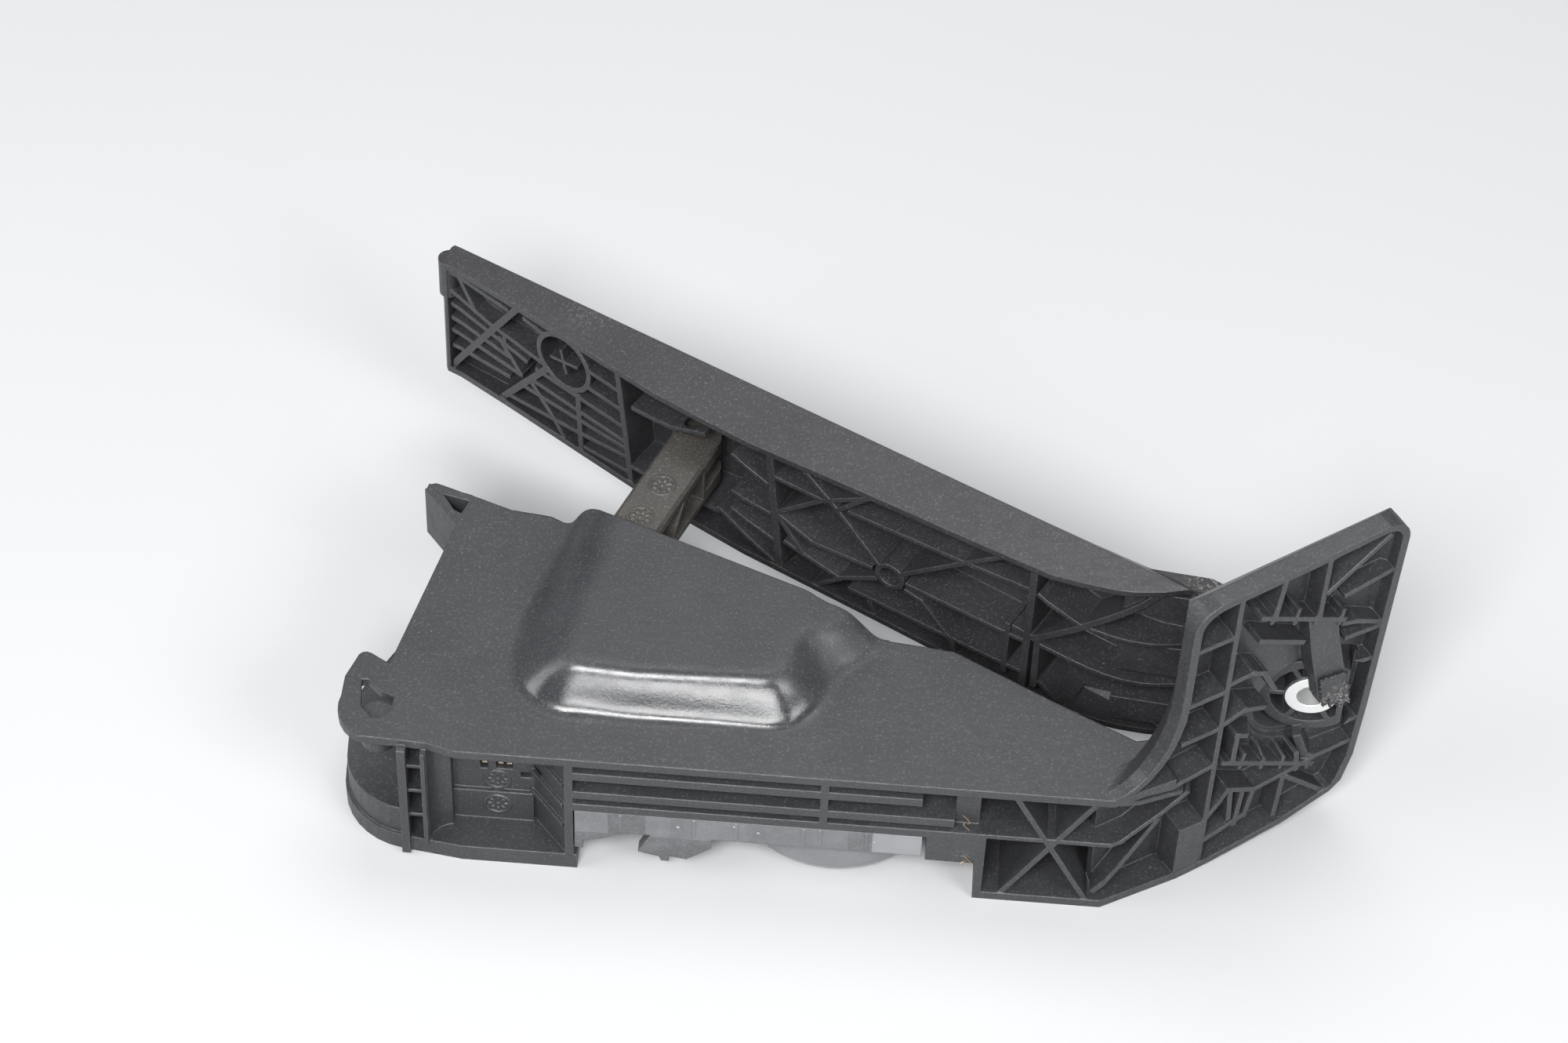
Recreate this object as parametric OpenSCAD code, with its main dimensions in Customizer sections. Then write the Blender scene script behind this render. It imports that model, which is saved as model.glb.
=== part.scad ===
// Floor-mounted accelerator pedal module, lying on its side as it rests on a table.
// X runs along the base, from the hooked end to the heel plate. Y runs from the face that sits on the
// car's floor towards the pedal. Z runs up from the table, across the width of the module.
// The origin is on the axis of the mounting bush, in the face of its ringed boss.

/* [Housing] */
// Height of the housing, from the table to the face of the upper side plate
plate_top = 49.5; // [47:0.5:53]
// Wall of the two side plates
plate_t = 3; // [2:0.25:4]
// Wall of the housing's inner and outer walls
wall_t = 2.4; // [1.8:0.1:3]
// Height of the bulge over the drive lever, above the side plate
bulge_h = 12.5; // [11.5:0.25:14]
// Height of the raised floor that carries the lever, above the table
deck_z = 26.7; // [25.5:0.3:27.6]
// Depth of the slats behind the floor-facing side
slat_depth = 12; // [8:1:16]

/* [Heel plate] */
// Angle between the heel plate and the base
heel_bend = 33.2; // [30:0.2:36]
// Length of the heel plate from the bend
heel_len = 61; // [60:0.5:66]
// Height of the heel plate
heel_h = 124.8; // [118:0.2:130]
// Depth of the heel plate at its left side, over everything
heel_depth = 11.5; // [10.5:0.25:13]
// Depth of the heel plate's rim along its top edge
rim_depth = 5.4; // [4:0.2:6]
// Thickness of the heel plate's skin
heel_skin = 2.5; // [2:0.25:3.5]
// Thickness of the ribs
rib_t = 1.6; // [1.2:0.1:2.2]

/* [Mounting boss] */
// Bore of the metal bush
bush_bore_r = 4.1; // [3.2:0.1:4.6]
// Outer radius of the metal bush
bush_r = 6.8; // [6.2:0.1:7.4]
// Outer radius of the ringed boss
boss_r = 15; // [13.5:0.25:16]
// Length of the metal bush
bush_len = 13; // [11:0.5:15]

/* [Pedal] */
// Length of the pedal from its hinge
pedal_len = 262; // [254:2:270]
// Width of the pedal's tread at its hinge end
pedal_w_low = 66; // [62:1:70]
// Width of the pedal's tread at its free end
pedal_w_high = 50; // [46:1:54]
// Thickness of the tread
tread_t = 2.5; // [2:0.1:3.2]
// Wall of the pedal's sides
side_t = 2.2; // [1.8:0.1:2.8]
// Angle of the tread to the base
pedal_slope = 29.1; // [28.7:0.1:29.5]
// Height of the pedal's middle above the table
pedal_z = 50; // [49:0.25:50.5]

/* [Mechanism] */
// Radius of the hinge pin
hinge_pin_r = 2.5; // [2:0.1:3]
// Outer radius of the hinge knuckles
knuckle_r = 4.6; // [4.4:0.1:5.2]
// Width of the link rod, seen from the side plate
rod_w = 14.8; // [13:0.2:16]
// Thickness of the link rod, across the module
rod_t = 18; // [16:0.5:19]
// Radius of the two link pins
link_pin_r = 3; // [2.5:0.1:3.3]
// Radius of the lever's pivot shaft
shaft_r = 4; // [3.4:0.1:4.6]
// Radius of the lever's hub
hub_r = 9; // [8:0.25:9.5]
// Wire of the outer return spring
wire_outer = 2; // [1.6:0.1:2.2]
// Wire of the inner return spring
wire_inner = 1.6; // [1.2:0.1:1.7]

/* [Sensor] */
// Height of the sensor housing's grey front strip
strip_h = 8.8; // [8:0.2:9]
// Radius of the sensor's round drum
drum_r = 31; // [29:0.5:33]
// Height of the round drum under the strip
drum_h = 12; // [10:0.25:13]

/* [Hidden] */
$fn = 48;
eps = 0.01;

// Running fits, and the gap that parts of one body keep
run_gap = 0.05;
seat_gap = 0.3;

// Landmarks along the base
bay_x0 = 17.8;
bay_x1 = 66;
deck_x1 = 182.5;
bend_x = 241.4;
bend_y = 12.5;
boss_x = 273.9;
boss_y = 40;
boss_z = 54.1;

// Levels of the housing
plate_z = plate_top - plate_t;
bay_floor_z = 6;
end_block_z = 17;
deck_t = 3;
deck_top = deck_z + deck_t;
bulge_top = plate_top + bulge_h;
bulge_wall = 2.2;
strip_z = deck_z - strip_h - seat_gap;
drum_z = strip_z - drum_h;

// Hinge of the pedal, pivot of the lever and the two link pins, in plan
hinge_x = 244;
hinge_y = 53;
pivot_x = 141;
pivot_y = 40;
low_x = 70.9;
low_y = 66;
up_t = 164.6;
up_n = 16.5;
arm_len = norm([low_x - pivot_x, low_y - pivot_y]);
arm_angle = atan2(low_y - pivot_y, low_x - pivot_x);
up_x = hinge_x - up_t * cos(pedal_slope) - up_n * sin(pedal_slope);
up_y = hinge_y + up_t * sin(pedal_slope) - up_n * cos(pedal_slope);
rod_len = norm([up_x - low_x, up_y - low_y]);
rod_angle = atan2(up_y - low_y, up_x - low_x);

function arc(cx, cy, r, a0, a1, n = 6) =
    [for (i = [0:n]) let (a = a0 + (a1 - a0) * i / n) [cx + r * cos(a), cy + r * sin(a)]];

function polar(along, across, a) =
    [pivot_x + along * cos(a) - across * sin(a), pivot_y + along * sin(a) + across * cos(a)];

module to_frame() {
    translate([-boss_x, -boss_y, -boss_z]) children();
}

// Solid that runs in Y from y0 to y1, under a shape drawn in X and Z
module upright(y0, y1) {
    translate([0, y1, 0]) rotate([90, 0, 0]) linear_extrude(y1 - y0) children();
}

// Thin wall between two points, drawn in two dimensions
module bar2d(a, b, w) {
    d = b - a;
    translate(a) rotate(atan2(d[1], d[0])) translate([-w / 2, -w / 2]) square([norm(d) + w, w]);
}

// Chain of thin walls through a list of points
module chain2d(points, w) {
    for (i = [0:len(points) - 2]) bar2d(points[i], points[i + 1], w);
}

module in_heel() {
    translate([bend_x, bend_y, 0]) rotate(heel_bend) children();
}

module in_pedal() {
    translate([hinge_x, hinge_y, pedal_z]) rotate(180 - pedal_slope) children();
}

module at_pivot() {
    translate([pivot_x, pivot_y, 0]) children();
}

module in_arm() {
    at_pivot() rotate(arm_angle) children();
}

module in_rod() {
    translate([low_x, low_y, pedal_z]) rotate(rod_angle) children();
}

// Outline of the far side of the housing, towards the pedal, from the upper hook to the heel plate
far_edge = [[225, 22], [200.4, 34.7], [172.3, 50], [150, 52.5], [135.5, 55.5], [92, 73], [62, 85],
    [51.7, 90.4], [39.5, 92], [25.8, 97]];
heel_root = [[219.3, 0], [bend_x - 5, bend_y - 3.2], [229, 23]];

// Upper side plate, seen from above, with the hooked ear and the triangular ear
module upper_plate_2d() {
    polygon(concat(
        [[34, 0]], heel_root, far_edge,
        arc(16.2, 98, 2.4, 60, 200, 4), [[24.1, 84.6], [12, 30]],
        arc(5, 31.4, 2.4, 60, 150, 3), [[0.1, 24.2]],
        arc(11.6, 14, 12, 165, 245, 6), [[26, 2.2]]));
}

// Lower side plate of the hooked end, with its wide round corner
module lower_left_2d() {
    polygon(concat(
        [[bay_x1 + wall_t, 0], [bay_x1 + wall_t, 80], [62, 85], [39.5, 92], [26, 90], [14, 76], [6, 60]],
        [[-0.6, 47], [-2.6, 36]], arc(20.5, 24.5, 22.3, 180, 262, 8), [[35, 0]]));
}

module end_block_2d(inset) {
    intersection() {
        offset(delta = -inset) lower_left_2d();
        translate([-10, -10]) square([bay_x0 + wall_t + 10, 100]);
    }
}

module lower_right_2d() {
    polygon([[deck_x1, 0], heel_root[0], [bend_x, bend_y], heel_root[2], far_edge[0], far_edge[1],
        [deck_x1, 44]]);
}

// Raised floor under the lever, which carries the lower shaft bush and closes over the sensor
module deck_2d() {
    polygon([[bay_x1, 0], [deck_x1 + wall_t, 0], [deck_x1 + wall_t, 43], far_edge[2], far_edge[3],
        far_edge[4], far_edge[5], [bay_x1, 81.5]]);
}

// Triangular lightening hole of the upper hook
module hook_hole_2d() {
    polygon([[18.2, 97.2], [27, 94.6], [25, 89.2], [22.6, 90.6]]);
}

// Heart-shaped socket in the lower hook
module ear_hole_2d() {
    polygon([[4.9, 23.5], [6.9, 23.7], [11, 19.8], [15, 18.1], [14.9, 13.8], [12.3, 10.4], [9.5, 10.1],
        [6.1, 13.8]]);
}

// Rounded bulge over the lever, as one convex form drawn in by a wall's thickness
crown_r = 7;
crown = [[65, 27.5], [121, 28], [127.5, 39], [62.4, 46], [69.4, 96], [129, 96]];
module bulge_form(inset) {
    hull() {
        translate([0, 0, plate_z - eps]) linear_extrude(plate_t) offset(delta = -inset)
            polygon([[60, 100], [52.7, 53.5], [49.5, 41.3], [49.8, 29.6], [52, 23.4], [56.6, 18.7],
                [61, 16.6], [67, 15.4], [104.6, 15.9], [122.3, 16.4], [129.9, 18.6], [134, 22],
                [136.1, 26.4], [137, 36.6], [137.5, 100]]);
        for (p = crown) translate([p[0], p[1], bulge_top - crown_r]) sphere(r = crown_r - inset, $fn = 24);
    }
}

// Rounded end of the bulge, over the lever's hub
module bulge_lobe() {
    hull() {
        translate([0, 0, plate_z]) linear_extrude(plate_t) polygon([[126, 28], [137, 36.6], [143, 42],
            [147.8, 46.8], [150, 52], [149.9, 57], [120, 66]]);
        translate([127.5, 41, bulge_top - crown_r]) sphere(r = crown_r - 0.3, $fn = 24);
        translate([137, 54, bulge_top - crown_r - 2]) sphere(r = crown_r - 1, $fn = 24);
        translate([122, 66, bulge_top - crown_r]) sphere(r = crown_r - 0.3, $fn = 24);
    }
}

// Everything on the floor's side of the far edge
module inside_far_edge() {
    translate([0, 0, -1]) linear_extrude(plate_top + bulge_h + 20)
        polygon(concat([[40, -5], [240, -5], [240, 15]], [for (i = [0:6]) far_edge[i]], [[40, 92]]));
}

module bulge() {
    difference() {
        intersection() {
            union() {
                bulge_form(0);
                bulge_lobe();
            }
            inside_far_edge();
        }
        bulge_form(bulge_wall);
    }
}

// Side plates, floors and outer walls of the housing
module housing_shell() {
    ear_drop = 19;
    difference() {
        translate([0, 0, plate_z]) linear_extrude(plate_t) upper_plate_2d();
        translate([0, 0, plate_z - 1]) linear_extrude(plate_t + 2) {
            hook_hole_2d();
            ear_hole_2d();
        }
        bulge_form(bulge_wall);
    }
    // Walls that hang from the upper hook's edge
    translate([0, 0, plate_top - ear_drop]) linear_extrude(ear_drop) {
        chain2d([[15, 98.6], [26, 95.8], [39, 90.9]], wall_t);
        chain2d([[14.8, 97.6], [24.6, 85.6]], wall_t);
    }
    // Tube under the lower hook
    translate([10.8, 13.4, plate_z - 10.5]) difference() {
        cylinder(r = 5.2, h = 11);
        translate([0, 0, -1]) cylinder(r = 3.6, h = 10);
    }
    // Hooked end: a floor with its skirt, and a higher block set in from the skirt under the hook
    difference() {
        linear_extrude(bay_floor_z) lower_left_2d();
        translate([0, 0, -1]) linear_extrude(bay_floor_z - wall_t + 1) intersection() {
            offset(delta = -wall_t) lower_left_2d();
            translate([-10, 0]) square([bay_x1 + 10 - wall_t, 100]);
        }
    }
    difference() {
        linear_extrude(end_block_z) end_block_2d(1);
        translate([0, 0, -1]) linear_extrude(end_block_z - wall_t + 1) intersection() {
            end_block_2d(1 + wall_t);
            translate([-10, -10]) square([bay_x0 + 10, 100]);
        }
    }
    translate([0, 0, deck_z]) linear_extrude(deck_t) deck_2d();
    linear_extrude(plate_t) lower_right_2d();
    // Outer walls towards the pedal, open where the link rod moves
    translate([0, 0, 1]) linear_extrude(plate_top - 2)
        chain2d([[25.4, 84], [38, 90], [51, 88.6], [59, 85]], wall_t);
    translate([0, 0, deck_z]) linear_extrude(plate_top - deck_z - 1)
        chain2d([[154.2, 51], [171.6, 48.6], [deck_x1 + 1, 43]], wall_t);
    translate([0, 0, 1]) linear_extrude(plate_top - 2)
        chain2d([[deck_x1 + 1, 43], [199.6, 33.6], [224.4, 20.8]], wall_t);
    // Wall along the hooked end
    translate([0, 0, end_block_z - 1]) linear_extrude(plate_z - end_block_z + 2)
        chain2d([[bay_x0 + 1.2, 1.2], [bay_x0 + 1.2, 46], [25.4, 84]], wall_t);
}

// Slats between the connector bay and the braced bay, seen from the floor's side
module slats() {
    slat_h = 3.1;
    ends = [166, 175.4];
    levels = [plate_z - 6, plate_z - 14.3];
    for (i = [0:1]) translate([bay_x1, 0, levels[i]]) cube([ends[i] - bay_x1, slat_depth, slat_h]);
    translate([137.4, 0, deck_z]) cube([2.2, slat_depth, plate_z - deck_z + 1]);
    // Stepped ends of the slats and the dark box behind them
    translate([166, slat_depth - 2, plate_z - 5.4]) cube([9, 2, 6]);
    translate([deck_x1 - 7, 4, deck_top - 1]) cube([7, slat_depth, plate_z - deck_top + 2]);
    translate([deck_x1, 0, 0]) cube([wall_t, 43, deck_top]);
    // Ledge at the right end of the sensor strip
    translate([168, 0, deck_z - 10.4]) cube([deck_x1 - 168 + 1, 9, 5.6]);
    translate([168, 0, deck_z - 5.2]) cube([deck_x1 - 168 + 1, 14, 5.4]);
}

// Connector bay: a shallow recess with slanted walls, slots and ridges
module connector_bay() {
    back_y = 12.6;
    bay_h = plate_z - bay_floor_z + 1;
    slots = [[39.6, 26.9, 2.2, 3.6], [44.1, 27.3, 4.9, 3.8], [51.2, 23.9, 3.1, 2.4]];
    // Divider walls
    translate([bay_x0, 0, 1]) cube([wall_t, 14, plate_z]);
    translate([bay_x0 + 6.6, 0, bay_floor_z - 1]) cube([1.2, back_y + 1, bay_h]);
    for (z = [16, 27, 38]) translate([bay_x0 + 1, 2, z]) cube([7, back_y - 2, 1.2]);
    translate([bay_x1 - 1, 0, 0.5]) cube([wall_t, 25, plate_z]);
    // Hollow-cheeked wall on the left
    difference() {
        translate([bay_x0 + 7, 1.5, bay_floor_z - 1]) cube([7, back_y + 1, bay_h]);
        translate([bay_x0 + 14.8, 1.2, bay_floor_z - 2]) cylinder(r = 6.8, h = bay_h + 2);
    }
    // Back wall with its slots, and the thicker sill below them
    difference() {
        translate([bay_x0 + 13, back_y, bay_floor_z - 1]) cube([24.4, wall_t, bay_h]);
        for (s = slots) translate([s[0], back_y - 1, s[1]]) cube([s[2], wall_t + 2, s[3]]);
    }
    translate([bay_x0 + 13, back_y - 1.4, bay_floor_z - 1]) cube([24, 2, 13.2]);
    // Generic round moulding marks
    for (z = [12.8, 22.5]) translate([44.4, z < 20 ? back_y - 1.8 : back_y - 0.5, z]) rotate([-90, 0, 0])
        difference() {
            cylinder(r = 4.1, h = 1);
            translate([0, 0, -1]) cylinder(r = 3.3, h = 1.4);
        }
    // Slanted wall on the right with three long ridges
    slant = atan2(-back_y - 1, bay_x1 - 54);
    slant_len = norm([bay_x1 - 54, back_y + 1]);
    translate([54, back_y + 1, 0]) rotate(slant) {
        difference() {
            translate([0, 0, bay_floor_z - 1]) cube([slant_len, 2, bay_h]);
            translate([2, -1, plate_z - 12]) cube([6, 4, 6]);
            translate([1.4, -1, plate_z - 20]) cube([4, 4, 4]);
        }
        for (z = [18, 27, 36]) translate([1, -1.1, z]) cube([slant_len - 2.6, 1.6, 1.5]);
    }
}

// Ribs of the braced bay, drawn in X and Z
module braced_bay() {
    front = 0.4;
    back = 20;
    mid_z = plate_top * 0.575;
    intersection() {
        union() {
            upright(front, back) {
                chain2d([[192.3, plate_z], [214.6, plate_t]], rib_t);
                chain2d([[214.6, plate_z], [190.6, plate_t]], rib_t);
                chain2d([[deck_x1, mid_z], [223, mid_z], [234, mid_z + 7], [240, mid_z + 12]], rib_t);
                chain2d([[222, plate_z], [227, plate_z - 2.4], [238, plate_z - 4.4]], rib_t);
                chain2d([[232.5, mid_z + 4], [225, mid_z - 9], [217, plate_t + 4]], rib_t);
            }
            upright(back - 0.2, back + 2) translate([deck_x1, 1])
                square([228 - deck_x1, plate_z - 1]);
        }
        behind_heel_face();
    }
}

// Half space on the pedal's side of the base plane and of the heel plane
module behind_heel_face() {
    translate([0, 0, -1]) linear_extrude(heel_h + 2)
        polygon([[0, 0], heel_root[0], [bend_x, bend_y], [bend_x + 90 * cos(heel_bend),
            bend_y + 90 * sin(heel_bend)], [bend_x + 60, 120], [0, 120]]);
}

// Outline of the heel plate in its own plane, drawn in from its edge by a wall's thickness
function heel_outline(i) = concat(
    [[-24, i], [0, i], [10.7, 0.8 + i], [35.5, 4.5 + i], [52, 10 + i], [55.6 - i, 13.2 + i * 0.7],
    [58.2 - i, 24], [heel_len - 1.6 - i, 45]], arc(heel_len - 7.4, heel_h - 8, 8 - i, 0, 87, 6),
    [[30, heel_h - 2.2 - i]], arc(cove_x + cove_r + 10, heel_h - 13.8, 10 - i, 95, 180, 8), cove(i));

// Hollow curve from the heel plate's left edge down to the upper side plate
cove_x = -26;
cove_r = 18.4;
function cove(i) = [for (a = [0:11.25:90])
    [cove_x + (cove_r + i) * cos(a), plate_top + 31.8 - (31.8 + i) * sin(a)]];

// Body of the heel plate: its skin comes forward to the right, and its back edges are sloped off
module heel_form(i, skin) {
    depth = heel_depth - skin;
    edge = rim_depth - skin / 2;
    slope = 52.4;
    difference() {
        upright(-1, depth) polygon(heel_outline(i));
        translate([4, depth, -1]) rotate(-3.7) cube([90, 30, heel_h + 2]);
        translate([53.6, edge, heel_h - i]) rotate([0, -4, 0]) rotate([-slope, 0, 0])
            translate([-120, -10, 0]) cube([180, 40, 30]);
        translate([heel_len - i, edge, -1]) rotate(40) translate([0, -10, 0]) cube([30, 50, heel_h + 2]);
        // Left side, sloped off behind the rim above the side plate
        hull() {
            cove_cut(edge, i);
            cove_cut(depth + 1, i + 6);
        }
    }
}

module cove_cut(v, grow) {
    upright(v, v + eps) polygon(concat([[-80, heel_h + 10], [cove_x + cove_r + grow, heel_h + 10]],
        [for (p = cove(grow)) [p[0], max(p[1], plate_top - (grow > 6 ? 3 : 0))]], [[-80, plate_top]]));
}

module heel_rib(points) {
    upright(0.5, heel_depth - 1) chain2d(points, rib_t);
}

module heel_plate() {
    right = heel_len - 2;
    intersection() {
        in_heel() difference() {
            heel_form(0, 0);
            heel_form(wall_t, heel_skin);
            upright(-1, heel_depth - heel_skin) translate([-30, wall_t]) square([20, plate_z - wall_t]);
        }
        behind_heel_face();
    }
    intersection() {
        in_heel() intersection() {
            heel_form(1, 1);
            heel_ribs(right);
        }
        behind_heel_face();
    }
    // Flat box at the foot of the bend
    intersection() {
        in_heel() upright(0.2, heel_depth - 1) translate([-1.5, 2]) square([8.5, 21]);
        behind_heel_face();
    }
}

module heel_ribs(right) {
    // Level ribs on the left and right of the long upright rib
    heel_rib([[7.5, wall_t], [7, heel_h - 2]]);
    for (z = [103.4, 80.2, 64]) heel_rib([[-5, z], [7, z]]);
    heel_rib([[-23, plate_top - 1], [-6, plate_z - 1], [7, 47.6]]);
    heel_rib([[8, 82.7], [15.5, 83.4], [19.4, 81.2], [24, 72]]);
    heel_rib([[8, 65.1], [15, 67.8], [22, 65]]);
    heel_rib([[13.8, 46], [13.8, 57.1], [23.8, 51.3], [33.2, 50.2]]);
    heel_rib([[43.7, 101.3], [right, 104]]);
    heel_rib([[45, 88.6], [49.4, 87.2], [right - 1, 82.6]]);
    heel_rib([[47, 81.5], [right - 1, 80.6]]);
    heel_rib([[50, 68.3], [right - 1, 66.7]]);
    heel_rib([[40.2, 40.6], [right - 1, 40.7]]);
    heel_rib([[42.8, 30.4], [right - 1, 30.6]]);
    heel_rib([[35, 26.2], [52.7, 8]]);
    heel_rib([[35.4, heel_h - 2], [35.4, 96]]);
    heel_rib([[21.3, heel_h - 2], [19.5, 104]]);
    heel_rib([[55, heel_h - 5], [37, 106]]);
    heel_rib([[7, 22], [11.4, 27.7], [14, 32.4], [23.6, 27], [33.7, 28.2], [43, 30]]);
    heel_rib([[15, 31], [16, 18]]);
    heel_rib([[19.5, 28.6], [18.4, 14]]);
    heel_rib([[23.4, 27], [21.6, 16]]);
    heel_rib([[7.5, 12], [21.8, 16.4]]);
    heel_rib([[33.6, 26.6], [32.8, 10]]);
    heel_rib([[36, 44], [38, 28]]);
    heel_rib([[16.2, 96.6], [31, 88.2]]);
    // Upper and lower toothed shelves
    toothed_shelf([15.6, 106.5], [44.6, 90.6], [0.12, 0.4, 0.66, 0.96]);
    toothed_shelf([10.7, 46.5], [43.3, 27.4], [0.2, 0.44, 0.66, 0.97]);
}

// Sloping shelf with short cross teeth on its front edge
module toothed_shelf(a, b, teeth) {
    tooth_len = 5;
    heel_rib([a, b]);
    for (k = teeth) {
        p = a + (b - a) * k;
        upright(0.5, heel_depth - 1) bar2d(p - [0.4, tooth_len / 2 - 1], p + [0.4, tooth_len / 2 + 1], 1.2);
    }
}

// Round boss with spokes, cut flat where it meets the heel plane, in a round well of its own
boss_depth = 13.4;
well_gap = 1.6;
ring_w = 3.3;
ring_flat = 9.7;
module ringed_boss() {
    inner_r = bush_r + 0.9;
    well_r = boss_r + well_gap;
    chord = sqrt(boss_r * boss_r - ring_flat * ring_flat);
    // Ring with its spokes, ending in a flat wall on the right
    intersection() {
        translate([boss_x, boss_y, boss_z]) rotate([-90, 0, 0]) difference() {
            union() {
                difference() {
                    cylinder(r = boss_r, h = boss_depth);
                    translate([0, 0, -1]) cylinder(r = boss_r - ring_w, h = boss_depth + 2);
                    translate([ring_flat, -boss_r, -1]) cube([boss_r, 2 * boss_r, boss_depth + 2]);
                }
                translate([ring_flat - 1.8, -chord, 0]) cube([1.8, 2 * chord, boss_depth]);
                cylinder(r = inner_r, h = boss_depth);
                for (a = [60:60:300]) rotate(a) translate([inner_r - 1, -0.8, 0])
                    cube([boss_r - inner_r, 1.6, boss_depth]);
            }
            translate([0, 0, -4]) cylinder(r = bush_r, h = boss_depth + 6);
        }
        behind_skin_face(0.2);
    }
    // Floor and wall of the well, behind the skin's front
    intersection() {
        translate([boss_x, boss_y, boss_z]) rotate([-90, 0, 0]) difference() {
            union() {
                translate([0, 0, boss_depth - 2.4]) cylinder(r = well_r + 2, h = 2.4);
                translate([0, 0, -14]) difference() {
                    cylinder(r = well_r + 2, h = boss_depth + 13);
                    translate([0, 0, -1]) cylinder(r = well_r, h = boss_depth + 15);
                }
            }
            translate([0, 0, -4]) cylinder(r = bush_r, h = boss_depth + 6);
        }
        behind_skin_face(heel_depth - heel_skin);
    }
    // Short post under the ring
    intersection() {
        upright(boss_y - 4, boss_y + 8) bar2d([272, 39], [276, 28], 2.6);
        behind_heel_face();
    }
}

// Space cleared for the ring and its well through ribs and skin
module boss_clearance() {
    intersection() {
        translate([boss_x, 0, boss_z]) rotate([-90, 0, 0])
            cylinder(r = boss_r + well_gap, h = boss_y + boss_depth - 2.4);
        translate([0, 0, 0]) cube([boss_x + ring_flat, 200, 200]);
    }
    intersection() {
        translate([boss_x, 0, boss_z]) rotate([-90, 0, 0]) cylinder(r = boss_r + 3, h = boss_y + 10);
        in_heel() translate([-20, -2, 0]) cube([heel_len + 15, heel_depth - heel_skin + 2, heel_h]);
    }
}

// Half space behind a plane at a given depth behind the ribs' front edges
module behind_skin_face(depth) {
    intersection() {
        behind_heel_face();
        in_heel() translate([-20, depth, 0]) cube([heel_len + 18, 60, heel_h]);
    }
}

// Torn-off moulded strap that hangs from the upper shelf over the bush, bent forward at its ragged end
module torn_strap() {
    left = [[33, 96.4], [34.6, 88], [35.9, 81], [37.4, 74], [39.2, 66.6], [40.2, 60.4]];
    right = [[49.9, 58.4], [48, 65.4], [46.4, 71.6], [44.8, 78.6], [43.4, 85], [42.2, 92]];
    ragged = [[40.6, 57.6], [42.4, 59.6], [43.6, 55.4], [45.4, 57.4], [46.8, 53.4], [48.2, 56.2], [50.4, 53.6]];
    difference() {
        in_heel() intersection() {
            union() {
                upright(-3, 4.2) polygon(concat(left, ragged, right));
                // Raised side edges, which run back into the plate
                upright(-3, 8) chain2d(left, 1.3);
                upright(-3, 8) chain2d(right, 1.3);
            }
            // Side profile of the strap
            translate([20, 0, 0]) rotate([90, 0, 90]) linear_extrude(40)
                polygon([[1.6, 99], [9, 99], [9, 74], [4.4, 66], [2.4, 52], [-0.6, 52], [-0.8, 60], [0.6, 76]]);
        }
        // Room for the ring's face and the bush
        translate([boss_x, boss_y - 0.9, boss_z]) rotate([-90, 0, 0]) cylinder(r = boss_r + 1, h = 30);
    }
}

// Two hinge towers on the back of the heel plate
tower_w = 12;
tower_gap = 25;
module hinge_towers() {
    root = heel_depth - 1;
    for (s = [-1, 1]) translate([0, 0, pedal_z + s * tower_gap / 2 - tower_w / 2]) difference() {
        union() {
            translate([hinge_x, hinge_y, 0]) cylinder(r = knuckle_r, h = tower_w);
            linear_extrude(tower_w) polygon([[hinge_x - knuckle_r, hinge_y], [hinge_x + knuckle_r, hinge_y],
                tower_root(19, root), tower_root(3, root)]);
        }
        translate([hinge_x, hinge_y, -1]) cylinder(r = hinge_pin_r, h = tower_w + 2);
    }
}

function tower_root(s, v) = [bend_x + s * cos(heel_bend) - v * sin(heel_bend),
    bend_y + s * sin(heel_bend) + v * cos(heel_bend)];

// Seats of the two shaft bushes, and posts for the stop pads and springs
bush_wall = 1.5;
bush_h = 4;
upper_bush_z = plate_z - bush_h;
module bush_seats() {
    seat_r = shaft_r + bush_wall;
    at_pivot() {
        difference() {
            translate([0, 0, upper_bush_z]) cylinder(r = seat_r + 2.2, h = bush_h);
            translate([0, 0, upper_bush_z - 1]) cylinder(r = seat_r, h = bush_h + 1);
        }
    }
}

module stop_posts() {
    for (p = [idle_post, full_post]) translate([p[0], p[1], deck_top - 1])
        cylinder(r = 2.6, h = plate_z - deck_top + 2);
    translate([spring_post[0], spring_post[1], deck_top - 1]) cylinder(r = 2.5, h = plate_z - deck_top + 2);
}

module base_frame() {
    color([0.16, 0.16, 0.17]) to_frame() difference() {
        union() {
            housing_shell();
            bulge();
            slats();
            connector_bay();
            braced_bay();
            difference() {
                heel_plate();
                boss_clearance();
            }
            ringed_boss();
            torn_strap();
            hinge_towers();
            bush_seats();
            stop_posts();
            // Blunt nub beside the rod's opening
            translate([65, 81.4, plate_z]) cylinder(r = 2.4, h = 13);
        }
        // Bore of the lower shaft bush, through the raised floor
        translate([pivot_x, pivot_y, deck_z - 1]) cylinder(r = shaft_r + bush_wall, h = deck_t + 2);
        screw_holes(1.4, deck_z - 1, deck_t + 2);
    }
}

module heel_bush() {
    color([0.8, 0.8, 0.8]) to_frame() translate([boss_x, boss_y, boss_z]) rotate([-90, 0, 0]) difference() {
        union() {
            cylinder(r = bush_r, h = bush_len);
            translate([0, 0, -0.6]) cylinder(r = bush_r + 0.6, h = 0.6);
        }
        translate([0, 0, -1]) cylinder(r = bush_bore_r, h = bush_len + 2);
    }
}

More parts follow.
